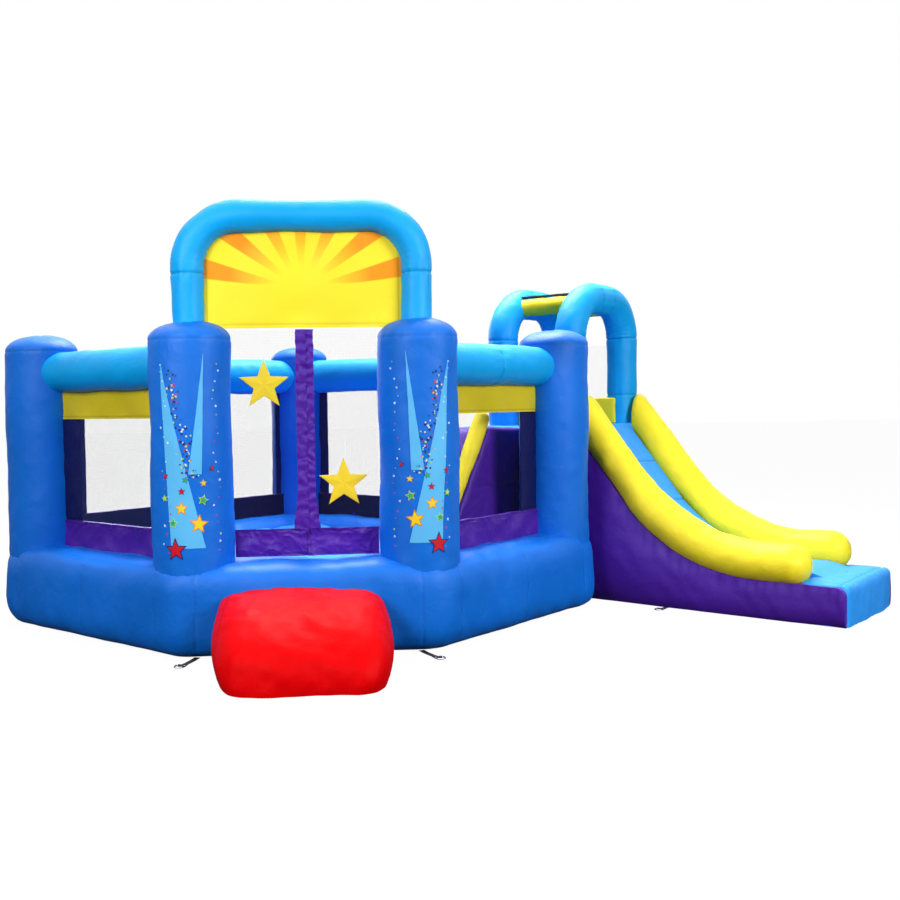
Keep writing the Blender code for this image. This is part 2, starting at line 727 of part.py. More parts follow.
def make_fan(looks):
    """A fan wheel with raked blades that turns inside the housing."""
    blades = 11
    root = 0.05
    outline = []
    for k in range(blades):
        for reach, lag in ((root, 0), (FAN_RADIUS, 0.16), (FAN_RADIUS, 0.20), (root, 0.12)):
            turn = 2 * math.pi * k / blades + lag
            outline.append((BLOWER_OUT + reach * math.cos(turn), BLOWER_RADIUS + reach * math.sin(turn)))
    pivot = blower_place(BLOWER_OUT, 0, BLOWER_RADIUS)
    slab("blower_wheel", outline, blower_place, -FAN_HALF_DEPTH, FAN_HALF_DEPTH, looks["grey"], pivot)


def make_switch(looks):
    """A rocker with a shallow V back, clear of the housing's closed side."""
    rocker = [(-0.018, 0.0055), (0, 0.0015), (0.018, 0.0055), (0.018, 0.0095), (0, 0.0065)]
    rocker.append((-0.018, 0.0095))
    half_width = 0.01
    turning_depth = 0.006
    height = BLOWER_RADIUS + SWITCH_RISE
    face = -BLOWER_HALF_THICKNESS

    def place(rise, out, depth):
        return blower_place(BLOWER_OUT + out, face - depth, height + rise)

    pivot = place(0, 0, turning_depth)
    slab("blower_switch", rocker, place, -half_width, half_width, looks["red"], pivot)


# --- the whole object ---------------------------------------------------------------------------

def centre_on_footprint():
    """Move everything so that the middle of the footprint, on the ground, is the origin."""
    low = Vector((math.inf, math.inf, math.inf))
    high = -low
    bpy.context.view_layer.update()
    for thing in bpy.data.objects:
        if thing.hide_render:
            continue
        for vert in thing.data.vertices:
            point = thing.matrix_world @ vert.co
            low = Vector(map(min, low, point))
            high = Vector(map(max, high, point))
    shift = Vector(((low.x + high.x) / 2, (low.y + high.y) / 2, low.z))
    for thing in bpy.data.objects:
        thing.location -= shift


def main():
    clear_scene()
    looks = {
        "blue": material("royal blue fabric", (0.014, 0.13, 0.58), 0.45),
        "sky": material("sky blue fabric", (0.012, 0.36, 0.84), 0.45),
        "pale_blue": material("floor blue fabric", (0.03, 0.18, 0.60), 0.5),
        "purple": material("purple fabric", (0.065, 0.015, 0.29), 0.5),
        "yellow": material("yellow fabric", (1.0, 0.87, 0.03), 0.45),
        "red": material("red fabric", (0.93, 0.005, 0.01), 0.4),
        "net": material("white netting", (0.85, 0.85, 0.84), 0.8),
        "black": material("black webbing", (0.01, 0.01, 0.012), 0.75),
        "steel": material("zinc-plated steel", (0.45, 0.45, 0.46), 0.35, 1.0),
        "charcoal": material("charcoal plastic", (0.03, 0.03, 0.035), 0.5),
        "grey": material("grey plastic", (0.3, 0.3, 0.31), 0.5),
    }
    make_base(looks)
    make_floor(looks)
    guides = make_columns(looks)
    make_top_tubes(looks, guides)
    make_arch(looks, guides)
    make_sign(looks)
    make_door(looks)
    make_panels(looks)
    make_step(looks)
    make_climb(looks)
    make_tower(looks)
    make_slide(looks)
    make_anchors(looks)
    make_sleeve(looks)
    make_blower_case(looks)
    make_blower_lid(looks)
    make_fan(looks)
    make_switch(looks)
    centre_on_footprint()


main()
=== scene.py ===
"""The looks of the inflatable bounce house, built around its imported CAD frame."""

import math

import bmesh
import bpy
import numpy as np
from mathutils import Matrix, Vector


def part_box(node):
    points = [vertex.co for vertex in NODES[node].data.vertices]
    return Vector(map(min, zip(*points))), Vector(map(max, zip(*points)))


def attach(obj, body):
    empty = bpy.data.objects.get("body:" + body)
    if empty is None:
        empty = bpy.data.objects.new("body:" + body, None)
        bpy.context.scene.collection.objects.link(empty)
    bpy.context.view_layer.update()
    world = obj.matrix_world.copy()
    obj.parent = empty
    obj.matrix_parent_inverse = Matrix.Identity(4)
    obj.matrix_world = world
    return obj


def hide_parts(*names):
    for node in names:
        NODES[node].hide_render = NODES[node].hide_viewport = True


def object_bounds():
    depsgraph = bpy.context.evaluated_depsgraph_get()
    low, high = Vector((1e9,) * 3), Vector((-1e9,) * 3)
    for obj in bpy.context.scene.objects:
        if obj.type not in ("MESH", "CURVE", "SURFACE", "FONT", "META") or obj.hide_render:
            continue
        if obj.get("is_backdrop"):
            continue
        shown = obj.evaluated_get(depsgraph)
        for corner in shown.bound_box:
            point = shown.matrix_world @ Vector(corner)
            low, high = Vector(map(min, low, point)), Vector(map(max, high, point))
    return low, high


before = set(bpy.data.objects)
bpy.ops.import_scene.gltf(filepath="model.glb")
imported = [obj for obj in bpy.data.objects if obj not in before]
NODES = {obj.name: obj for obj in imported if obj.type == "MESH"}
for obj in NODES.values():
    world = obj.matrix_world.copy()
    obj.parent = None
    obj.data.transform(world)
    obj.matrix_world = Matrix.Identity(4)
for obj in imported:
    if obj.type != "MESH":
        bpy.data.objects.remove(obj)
CAD_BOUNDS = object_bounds()

# Places, in plan coordinates: the origin is the middle of the entrance, and MID is where the
# middle of the footprint lies in them.
DIAGONAL = math.sqrt(0.5)
UP = np.array((0.0, 0.0, 1.0))
HALF_DOOR = 0.66
HALF_WIDE = 1.74
FRONT_LEFT_LOW, FRONT_LEFT_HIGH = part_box("column_front_left")
MID = np.array((
    -HALF_DOOR - (FRONT_LEFT_LOW.x + FRONT_LEFT_HIGH.x) / 2,
    -(FRONT_LEFT_LOW.y + FRONT_LEFT_HIGH.y) / 2,
    0.0,
))
CORNERS = {
    "front_left": np.array((-HALF_DOOR, 0, 0)),
    "front_right": np.array((HALF_DOOR, 0, 0)),
    "right": np.array((HALF_WIDE, HALF_WIDE - HALF_DOOR, 0)),
    "back": np.array((0, 2 * HALF_WIDE - HALF_DOOR, 0)),
    "left": np.array((-HALF_WIDE, HALF_WIDE - HALF_DOOR, 0)),
}
SIDES = {
    "entrance": ("front_left", "front_right"),
    "front_right": ("front_right", "right"),
    "back_right": ("right", "back"),
    "back_left": ("back", "left"),
    "front_left": ("left", "front_left"),
}
WALL_V = (2 * HALF_WIDE - HALF_DOOR) * DIAGONAL
BASE_HALF_WIDTH = 0.265
BASE_HEIGHT = 0.53
COLUMN_RADIUS = 0.236
COLUMN_TOP = 1.918
TOP_TUBE_Z = 1.665
TOP_TUBE_RADIUS = 0.132
LOW_WALL_TOP = 0.70
LANE_INNER = 2.36
LANE_OUTER = 3.37
DECK_TOP = 1.25
TOWER_BACK_U = -0.37
TOWER_FRONT_U = 0.49
POST_U = -0.50


def placing(origin, *axes):
    """A function that puts coordinates along three axes into plan coordinates."""
    axes = [np.array(axis, float) for axis in axes]

    def place(*numbers):
        spread = np.broadcast_arrays(*numbers)
        return origin + sum(n[..., None] * axis for n, axis in zip(spread, axes))

    return place


# The slide's own axes: u runs down the slide, v out from the house, and z up.
U_AXIS = np.array((DIAGONAL, -DIAGONAL, 0))
V_AXIS = np.array((DIAGONAL, DIAGONAL, 0))
lane = placing(np.zeros(3), U_AXIS, V_AXIS, UP)


def side_axes(side):
    """A side's first corner, its length, and its directions along it and outward."""
    start, end = (CORNERS[name] for name in SIDES[side])
    length = np.linalg.norm(end - start)
    along = (end - start) / length
    return start, length, along, np.cross(along, UP)


def side_place(side):
    """Coordinates along a side: s from its first corner, out from its centre line, and z."""
    start, length, along, outward = side_axes(side)
    return placing(start, along, outward, UP), length


# --- materials ---

def srgb(red, green, blue):
    """A linear colour from its 8-bit display values."""
    values = [c / 255 for c in (red, green, blue)]
    return [c / 12.92 if c <= 0.04045 else ((c + 0.055) / 1.055) ** 2.4 for c in values]


class Nodes:
    """Short forms for building a node tree, of a material or of the world."""

    def __init__(self, owner):
        self.owner = bpy.data.materials.new(owner) if isinstance(owner, str) else owner
        self.owner.use_nodes = True
        self.tree = self.owner.node_tree
        self.shader = self.tree.nodes.get("Principled BSDF")
        self.place = self.add("TexCoord").outputs["Object"]

    def set(self, **inputs):
        for key, value in inputs.items():
            self.put(self.shader.inputs[key.replace("_", " ")], value)

    def add(self, kind, settings=None, **inputs):
        node = self.tree.nodes.new("ShaderNode" + kind)
        for key, value in (settings or {}).items():
            setattr(node, key, value)
        for key, value in inputs.items():
            self.put(node.inputs[key.replace("_", " ")], value)
        return node

    def put(self, socket, value):
        if isinstance(value, bpy.types.NodeSocket):
            self.tree.links.new(value, socket)
        else:
            socket.default_value = value

    def math(self, operation, *values):
        node = self.add("Math", {"operation": operation})
        for socket, value in zip(node.inputs, values):
            self.put(socket, value)
        return node.outputs[0]

    def mix(self, factor, first, second, blend="MIX"):
        node = self.add("Mix", {"data_type": "RGBA", "blend_type": blend})
        self.put(node.inputs[0], factor)
        for socket, value in ((node.inputs[6], first), (node.inputs[7], second)):
            self.put(socket, value if isinstance(value, bpy.types.NodeSocket) else (*value, 1.0))
        return node.outputs[2]

    def noise(self, scale, detail=2.0, distortion=0.0, roughness=0.5):
        node = self.add("TexNoise", None, Vector=self.place, Scale=scale, Detail=detail,
                        Distortion=distortion, Roughness=roughness)
        return node.outputs["Fac"]

    def wave(self, direction, scale, distortion=0.0):
        node = self.add("TexWave", {"bands_direction": direction}, Vector=self.place, Scale=scale,
                        Distortion=distortion)
        return node.outputs["Fac"]

    def bump(self, height, distance, strength=1.0, below=None):
        node = self.add("Bump", None, Height=height, Distance=distance, Strength=strength)
        if below is not None:
            self.put(node.inputs["Normal"], below)
        return node.outputs[0]

    def ramp(self, value, low, high, to_low=0.0, to_high=1.0):
        node = self.add("MapRange")
        for socket, number in zip(node.inputs[:5], (value, low, high, to_low, to_high)):
            self.put(socket, number)
        return node.outputs[0]


def fabric(name, colour, roughness=0.46, coat=0.04, wrinkle=0.5, variation=0.08, paint=None,
           shine=0.24):
    """Coated nylon: a fine crossed weave under a satin coat, soft creases and darker seams.

    paint(nodes, colour) may return another colour socket, for a printed pattern.
    """
    n = Nodes(name)
    base = n.mix(0.0, colour, colour) if paint is None else paint(n, colour)
    cloudy = n.ramp(n.noise(1.7, 3.0), 0.3, 0.7, 1 - variation, 1 + variation)
    shade = n.add("CombineColor", None, Red=cloudy, Green=cloudy, Blue=cloudy).outputs[0]
    toned = n.mix(1.0, base, shade, "MULTIPLY")
    seam = n.add("Attribute", {"attribute_name": "seam"}).outputs["Fac"]
    seamed = n.mix(n.math("MULTIPLY", seam, 0.42), toned, [c * 0.25 for c in colour])
    folds = n.bump(n.noise(5.5, 4.0, 0.9, 0.55), 0.012, wrinkle)
    small = n.bump(n.noise(26.0, 3.0, 0.6), 0.0025, wrinkle, folds)
    weave = n.math("MULTIPLY", n.wave("X", 260.0, 0.4), n.wave("Z", 260.0, 0.4))
    n.set(Base_Color=seamed, Coat_Weight=coat, Coat_Roughness=0.34, Specular_IOR_Level=shine,
          Roughness=n.ramp(n.noise(90.0, 2.0), 0.3, 0.7, roughness - 0.05, roughness + 0.06),
          Normal=n.bump(weave, 0.0003, 0.5, small))
    return n.owner


def plastic(name, colour, roughness, grain=0.3, metallic=0.0):
    """Moulded plastic or plated metal with a fine grain and slight wear."""
    n = Nodes(name)
    patches = n.ramp(n.noise(14.0, 4.0), 0.35, 0.7, 0.0, 0.35)
    n.set(Base_Color=n.mix(patches, colour, [c * 1.6 + 0.01 for c in colour]), Metallic=metallic,
          Roughness=n.ramp(n.noise(40.0), 0.3, 0.7, roughness - 0.08, roughness + 0.08),
          Normal=n.bump(n.noise(700.0, 1.0), 0.0004, grain))
    return n.owner


def webbing(name, colour):
    """Woven strap: ribs across its length."""
    n = Nodes(name)
    ribs = n.wave("DIAGONAL", 120.0)
    n.set(Base_Color=n.mix(ribs, [c * 0.6 for c in colour], [c * 1.5 + 0.004 for c in colour]),
          Roughness=0.75, Normal=n.bump(ribs, 0.0008, 0.8))
    return n.owner


SUN_X = -0.01
SUN_Z = 2.09


def sunburst(n, colour):
    """Orange rays that open out from the middle of the sign over its upper half."""
    parts = n.add("SeparateXYZ", None, Vector=n.place)
    x = n.math("SUBTRACT", parts.outputs["X"], float(SUN_X - MID[0]))
    z = n.math("SUBTRACT", parts.outputs["Z"], SUN_Z)
    turn = n.math("SUBTRACT", n.math("ARCTAN2", z, x), math.pi / 2)
    ray = n.ramp(n.math("COSINE", n.math("MULTIPLY", turn, 14.0)), 0.1, 0.3)
    reach = n.math("SQRT", n.math("ADD", n.math("MULTIPLY", x, x), n.math("MULTIPLY", z, z)))
    upper = n.ramp(z, 0.03, 0.045)
    factor = n.math("MULTIPLY", n.math("MULTIPLY", ray, n.ramp(reach, 0.14, 0.42)), upper)
    return n.mix(factor, colour, srgb(248, 150, 4))


YELLOW = srgb(248, 226, 40)
LOOKS = {
    "blue": fabric("royal_blue_nylon", srgb(4, 110, 218)),
    # navy is the blue fabric darkened as painted shade: the shade inside the room.
    "navy": fabric("painted_shade_navy_nylon", srgb(8, 12, 74)),
    # This look is the purple fabric darkened as painted shade, for the inner faces of the back walls.
    "painted_shade_purple": fabric("painted_shade_purple_nylon", srgb(16, 4, 48)),
    "sky": fabric("sky_blue_nylon", srgb(0, 166, 240)),
    "bed": fabric("slide_blue_nylon", srgb(44, 156, 252)),
    "purple": fabric("purple_nylon", srgb(72, 26, 150), wrinkle=0.35),
    "yellow": fabric("yellow_nylon", YELLOW, variation=0.05),
    # valance is the yellow fabric darkened as painted shade: the shadow of the top tube over the
    # hanging valance.
    "valance": fabric("painted_shade_yellow_nylon", srgb(206, 188, 26), variation=0.05),
    "red": fabric("red_nylon", srgb(226, 0, 5), coat=0.0, variation=0.06, shine=0.05),
    "sign": fabric("sunburst_banner", YELLOW, wrinkle=0.3, variation=0.03, paint=sunburst),
    "star": fabric("star_gold_nylon", srgb(232, 206, 44), wrinkle=0.7),
    "net": fabric("grey_net_cord", srgb(46, 46, 52), roughness=0.7, coat=0.0, wrinkle=0.1),
    "black_net": fabric("black_net_cord", srgb(24, 24, 30), roughness=0.7, coat=0.0, wrinkle=0.1),
    "webbing": webbing("black_webbing", srgb(22, 22, 26)),
    "steel": plastic("zinc_plated_steel", srgb(170, 171, 174), 0.32, 0.2, 1.0),
    "housing": plastic("charcoal_housing", srgb(38, 39, 42), 0.5),
    "fan": plastic("grey_fan", srgb(120, 121, 124), 0.45),
    "rocker": plastic("red_rocker", srgb(200, 20, 22), 0.3, 0.1),
}
# Each fabric slot holds the fabric and its darker copy of painted shade: the navy for blue, the dark
# purple for purple, the valance yellow for yellow.
SLOTS = {
    "blue_fabric": ("blue", "navy"), "purple_fabric": ("painted_shade_purple", "purple"), "sky_fabric": ("sky", "bed"),
    "yellow_fabric": ("yellow", "valance", "sign"), "red_fabric": ("red",), "netting": ("net",),
    "webbing": ("black_net", "webbing"), "steel": ("steel",),
}
SLOT_OF = {look: slot for slot, looks in SLOTS.items() for look in looks}


# --- mesh helpers ---

def waves(points, size, seed, count=16):
    """Smooth bumps about size metres across, with a spread of about one."""
    rng = np.random.default_rng(seed)
    turns = rng.normal(size=(count, 3))
    turns /= np.linalg.norm(turns, axis=1, keepdims=True)
    lengths = size * rng.uniform(0.75, 1.5, count)
    phases = rng.uniform(0, 2 * math.pi, count)
    single = np.sin(points @ (turns / lengths[:, None]).T * 2 * math.pi + phases)
    return single.sum(-1) / math.sqrt(count / 2)


def bumps(points, seed, *layers):
    """Smooth bumps in layers, each with its depth and its size."""
    return sum(depth * waves(points, size, seed + k) for k, (depth, size) in enumerate(layers))


def creases(points, size, seed):
    """Sharp narrow ridges, as in crumpled cloth, from 0 to 1."""
    first = 1 - np.abs(waves(points, size, seed)).clip(0, 1)
    second = 1 - np.abs(waves(points, size * 0.6, seed + 1)).clip(0, 1)
    return (first ** 3 + 0.6 * second ** 3) / 1.6


def relief(distance, along, seed, depth=0.005, pucker=0.003):
    """Height of the cloth near a seam: a narrow valley with gathers that die out beside it."""
    valley = np.exp(-(distance / 0.009) ** 2)
    wander = 1.6 * np.sin(2 * math.pi * along / 0.37 + seed)
    gathered = np.sin(2 * math.pi * along / 0.052 + wander) + 0.5 * np.sin(along / 0.013 + 2 * seed)
    return -depth * valley + pucker * gathered * np.exp(-np.abs(distance) / 0.045)


def mark(distance, width=0.0045):
    """How dark a seam is, at a distance from it."""
    return np.exp(-(distance / width) ** 2)


def gap_from(theta, angle):
    """The angle from a line to theta, within half a turn either way."""
    return (theta - angle + math.pi) % (2 * math.pi) - math.pi


def turns_of(count):
    return 2 * math.pi * (np.arange(count) + 0.5) / count


def polar(reach, theta, z):
    return np.stack([reach * np.cos(theta), reach * np.sin(theta), z], -1)


def unit(vector):
    vector = np.array(vector, float)
    return vector / np.linalg.norm(vector, axis=-1, keepdims=True)


def run_of(path):
    """The distance of each point along a path."""
    return np.r_[0, np.cumsum(np.linalg.norm(np.diff(path, axis=0), axis=1))]


def stations(length, step, seams=()):
    """Places along a length, closer together beside each seam."""
    places = list(np.linspace(0, length, max(2, round(length / step) + 1)))
    for seam in seams:
        for offset in (0.0, 0.004, 0.009, 0.018, 0.03):
            places += [seam - offset, seam + offset]
    places = np.unique(np.round(np.clip(places, 0, length), 5))
    places = places[np.r_[True, np.diff(places) > 0.0015]]
    places[-1] = length
    return places


def grid_faces(rows, columns, wrap):
    i = np.arange(rows - 1)[:, None]
    j = np.arange(columns if wrap else columns - 1)[None, :]
    k = (j + 1) % columns
    quads = [i * columns + j, i * columns + k, (i + 1) * columns + k, (i + 1) * columns + j]
    return np.stack(quads, -1).reshape(-1, 4).tolist()


def rim_of(rows, columns):
    """The outline of a grid of points, in order."""
    rim = list(range(columns)) + [r * columns + columns - 1 for r in range(1, rows)]
    rim += [(rows - 1) * columns + c for c in range(columns - 2, -1, -1)]
    return rim + [r * columns for r in range(rows - 2, 0, -1)]


def thin_faces(faces, rim, count):
    """Faces of a thin closed solid: a front, a back that is count points later, and their rim."""
    both = faces + [[i + count for i in reversed(face)] for face in faces]
    return both + [[a, b, b + count, a + count] for a, b in zip(rim, rim[1:] + rim[:1])]


def reshape(mesh, change=None):
    """Turn a mesh's faces outward, after a change to its shape if one is given."""
    shell = bmesh.new()
    shell.from_mesh(mesh)
    if change:
        change(shell)
    bmesh.ops.recalc_face_normals(shell, faces=shell.faces)
    shell.to_mesh(mesh)
    shell.free()


def make(name, points, faces, look, nodes=(), body="house", seam=None, fill=None):
    """A closed mesh piece in its place, with its material, seams, body and replaced nodes."""
    mesh = bpy.data.meshes.new(name)
    mesh.from_pydata((points - MID).tolist(), [], faces)
    if seam is not None:
        layer = mesh.attributes.new("seam", "FLOAT", "POINT")
        layer.data.foreach_set("value", np.asarray(seam, np.float32).ravel())
    reshape(mesh)
    mesh.shade_smooth()
    mesh.set_sharp_from_angle(angle=math.radians(50))
    mesh.materials.append(LOOKS[look])
    piece = bpy.data.objects.new(name, mesh)
    bpy.context.scene.collection.objects.link(piece)
    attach(piece, body)
    if nodes:
        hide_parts(*([nodes] if isinstance(nodes, str) else nodes))
    return piece


def wrap_solid(name, rows, look, closed=False, **more):
    """A surface through rings of points, capped at both ends or closed on its first ring."""
    count, around = rows.shape[:2]
    last = (count - 1) * around
    faces = grid_faces(count, around, True)
    if closed:
        faces += [[last + k, last + (k + 1) % around, (k + 1) % around, k] for k in range(around)]
    else:
        faces += [list(range(around)), list(range(last, last + around))]
    return make(name, rows.reshape(-1, 3), faces, look, **more)


def leaf_solid(name, front, back, look, seam, **more):
    """A thin closed solid between two grids of points that share their layout."""
    rows, columns = front.shape[:2]
    faces = thin_faces(grid_faces(rows, columns, False), rim_of(rows, columns), rows * columns)
    points = np.concatenate([front.reshape(-1, 3), back.reshape(-1, 3)])
    return make(name, points, faces, look, seam=np.concatenate([np.ravel(seam)] * 2), **more)


def tube(name, look, path, radius, across, seams=(), rails=(), sides=48, step=0.014, seed=1,
         bend=0.007, swell=0.003, mitre=0.0, fill=1.0, **more):
    """A round inflated tube along a flat path.

    radius is a number or a function of the places along it; seams are rings at those places,
    and rails are seams that run along the tube at those angles. With mitre, the first end
    stands upright, and the rings lean back to square over that length.
    """
    path = np.array(path, float)
    total = run_of(path)
    s = stations(total[-1], step, seams)

    def sample(where):
        inside = np.clip(where, 0, total[-1])
        return np.stack([np.interp(inside, total, path[:, k]) for k in range(3)], -1)

    centre = sample(s)
    tangent = unit(sample(s + 0.02) - sample(s - 0.02))
    across = np.array(across, float)
    other = np.cross(tangent, across)
    turning = np.gradient(tangent, s, axis=0)
    t = turns_of(sides)
    outward = np.cos(t)[None, :, None] * across + np.sin(t)[None, :, None] * other[:, None, :]
    reach = radius(s, total[-1]) if callable(radius) else np.full(len(s), radius)
    surface = centre[:, None, :] + reach[:, None, None] * outward
    height = bumps(surface, seed, (swell, 0.45), (0.25 * swell, 0.11))
    inner = np.clip((outward * turning[:, None, :]).sum(-1) * reach[:, None], 0, 1)
    along = np.broadcast_to(s[:, None], height.shape)
    wander = 1.2 * np.sin(along / 0.09 + seed) + 2 * np.sin(t)[None, :]
    height = height - bend * inner * (0.6 + 0.6 * np.sin(2 * math.pi * along / 0.045 + wander))
    seam = np.zeros_like(height)
    girth = reach[:, None] * t[None, :]
    for place in seams:
        height = height + relief(along - place, girth, seed + place)
        seam = np.maximum(seam, mark(along - place))
    for angle in rails:
        away = reach[:, None] * gap_from(t[None, :], angle)
        height = height + relief(away, along, seed + angle, 0.003, 0.002)
        seam = np.maximum(seam, 0.7 * mark(away, 0.008))
    rows = surface + height[..., None] * outward
    if mitre:
        level = unit(tangent[0] * (1, 1, 0))
        lean = ((rows - centre[:, None, :]) @ level) / (tangent @ level)[:, None]
        lean = lean * np.clip(1 - s / mitre, 0, 1)[:, None] ** 2
        rows = rows - lean[..., None] * tangent[:, None, :]
    return wrap_solid(name, rows, look, seam=seam, fill=fill, **more)


def panel(name, look, place, a, b, thickness, step, bulge=None, hem=0.0, lift=0.0, **more):
    """A cloth panel over ranges a and b: place(a, out, b), with bulge(a, b, points) outward."""
    (a0, a1), (b0, b1) = a, b
    a, b = (stations(high - low, step, (hem, high - low - hem) if hem else ()) + low
            for low, high in ((a0, a1), (b0, b1)))
    aa, bb = np.meshgrid(a, b, indexing="ij")
    flat = place(aa, np.zeros_like(aa), bb)
    out = lift + (np.zeros_like(aa) if bulge is None else bulge(aa, bb, flat))
    seam = np.zeros_like(aa)
    if hem:
        edge = np.minimum.reduce([aa - a0, a1 - aa, bb - b0, b1 - bb]) - hem
        seam = mark(edge)
        out = out - 0.0012 * mark(edge, 0.005)
    front, back = (place(aa, out + side * thickness / 2, bb) for side in (1, -1))
    return leaf_solid(name, front, back, look, seam, **more)


def cloth(name, look, place, a, b, *shape, held="stretched", rests_on=None, **more):
    """A panel that is a sheet of cloth, cut to the size of its ranges a and b."""
    piece = panel(name, look, place, a, b, *shape, **more)


def net(name, place, a, b, pitch=0.009, cord=0.00026, bow=0.006, look="net", **more):
    """A net over ranges a and b: thin square cords both ways, bowed a little outward."""
    points, faces = [], []
    cuts = 8
    square = ((-1, -1), (1, -1), (1, 1), (-1, 1))
    for upright, (low, high), (start, end) in ((True, a, b), (False, b, a)):
        for fixed in np.arange(low + pitch / 2, high, pitch):
            first = len(points)
            for run in np.linspace(start, end, cuts):
                bulge = math.sin(math.pi * (fixed - low) / (high - low))
                out = bow * bulge * math.sin(math.pi * (run - start) / (end - start))
                for side, rise in square:
                    shifted, offset = fixed + side * cord / 2, out + rise * cord / 2
                    points.append((shifted, offset, run) if upright else (run, offset, shifted))
            for ring in range(first, first + 4 * (cuts - 1), 4):
                faces += [[ring + k, ring + (k + 1) % 4, ring + 4 + (k + 1) % 4, ring + 4 + k]
                          for k in range(4)]
            for end_ring in (first, first + 4 * (cuts - 1)):
                faces.append([end_ring + k for k in range(4)])
    return make(name, place(*np.array(points).T), faces, look, **more)


def arc(centre, radius, start, end, steps):
    angles = np.radians(np.linspace(start, end, steps + 1))
    return [(centre[0] + radius * math.cos(t), centre[1] + radius * math.sin(t)) for t in angles]


def arch_line(half_span, top, corner, bottom, steps=24):
    left = arc((-half_span + corner, top - corner), corner, 180, 90, steps)
    right = arc((half_span - corner, top - corner), corner, 90, 0, steps)
    return [(-half_span, bottom), *left, *right, (half_span, bottom)]


# --- the base and its floor ---

def make_base():
    """One ring of five inflated tubes, mitred inside and rounded outside at each corner."""
    turns = turns_of(52)
    normal = np.stack([np.cos(turns), np.sin(turns)], -1)
    out, tall = (np.sign(normal) * np.abs(normal) ** 0.5).T * ((BASE_HALF_WIDTH,), (BASE_HEIGHT / 2,))
    z = BASE_HEIGHT / 2 + tall
    rings, lifts, away = [], [], []
    axes = [side_axes(side) for side in SIDES]
    corner_steps = 10
    for here, before, after in zip(axes, axes[-1:] + axes[:-1], axes[1:] + axes[:1]):
        start, length, along, outward = here
        turn_start, turn_end = (math.acos(along @ other[2]) / 2 for other in (before, after))
        seams = (0.02, length - 0.02) if here is axes[0] else (0.05, length / 2, length - 0.05)
        low = np.where(out < 0, -out * math.tan(turn_start), 0)
        high = np.where(out < 0, length + out * math.tan(turn_end), length)
        for s in stations(length, 0.025, seams):
            place = low + (high - low) * (s / length)
            rings.append(start + place[:, None] * along + out[:, None] * outward)
            lifts.append(outward)
            away.append(min((s - seam for seam in seams), key=abs))
        inside = out[:, None] / math.cos(turn_end) * unit(outward + after[3])
        for share in np.arange(1, corner_steps) / corner_steps:
            lift = unit((1 - share) * outward + share * after[3])
            rings.append(after[0] + np.where(out[:, None] < 0, inside, out[:, None] * lift))
            lifts.append(lift)
            away.append(0.2)
    rows = np.array(rings) + z[:, None] * UP
    away = np.array(away)[:, None]
    direction = normal[None, :, :1] * np.array(lifts)[:, None, :] + normal[None, :, 1:] * UP
    height = bumps(rows, 11, (0.006, 0.55), (0.002, 0.14))
    girth = np.cumsum(np.hypot(np.diff(out, append=out[0]), np.diff(z, append=z[0])))[None, :]
    height = height + relief(away, np.broadcast_to(girth, height.shape), 3, 0.003, 0.003)
    height = height * np.clip(z / 0.06, 0, 1)[None, :]
    rows = rows + height[..., None] * direction
    rows[..., 2] = np.clip(rows[..., 2], 0, None)
    wrap_solid("base_ring", rows, "blue", closed=True, seam=0.35 * mark(away) * np.ones_like(height),
               fill=1.0, nodes=["base_tube_" + side for side in SIDES])


def make_floor():
    """The bouncing floor: a row of inflated channels that run from front to back."""
    inset, channel = 0.238, 0.236
    xx, yy = np.meshgrid(np.arange(-1.42, 1.4201, 0.02), np.arange(0.1, 2.62, 0.03), indexing="ij")
    top = 0.448 + 0.018 * np.sqrt(np.abs(np.sin(math.pi * xx / channel)))
    front = np.stack([xx, yy, top], -1)
    front[..., 2] += 0.002 * waves(front, 0.16, 21)
    seam = 0.8 * mark(np.abs((xx / channel + 0.5) % 1 - 0.5) * channel, 0.008)
    back = np.stack([xx, yy, np.full_like(xx, 0.2)], -1)
    floor = leaf_solid("floor_channels", front, back, "bed", seam, nodes="bounce_floor", fill=0.9)

    def trim(shell):
        for side in SIDES:
            start, _, _, outward = side_axes(side)
            everything = shell.verts[:] + shell.edges[:] + shell.faces[:]
            cut = bmesh.ops.bisect_plane(shell, geom=everything, plane_no=outward, clear_outer=True,
                                         plane_co=start - inset * outward - MID)
            edges = [e for e in cut["geom_cut"] if isinstance(e, bmesh.types.BMEdge)]
            bmesh.ops.contextual_create(shell, geom=edges)

    reshape(floor.data, trim)


# --- the columns and their print ---

SHOULDER = COLUMN_TOP - 0.11
COLUMN_LINES = (0.25, 2.9)


def skin(theta, z, seed):
    """How far the column's cloth stands out or in at an angle and a height."""
    girth = theta * COLUMN_RADIUS
    height = bumps(polar(COLUMN_RADIUS, theta, z), seed, (0.003, 0.5), (0.0009, 0.1))
    height = height + relief(z - SHOULDER, girth, seed, 0.003, 0.0016)
    height = height + relief(z - 0.5, girth, seed + 4, 0.0, 0.003)
    for angle in COLUMN_LINES:
        height = height + relief(gap_from(theta, angle) * COLUMN_RADIUS, z, seed + angle, 0.002, 0.0015)
    return height


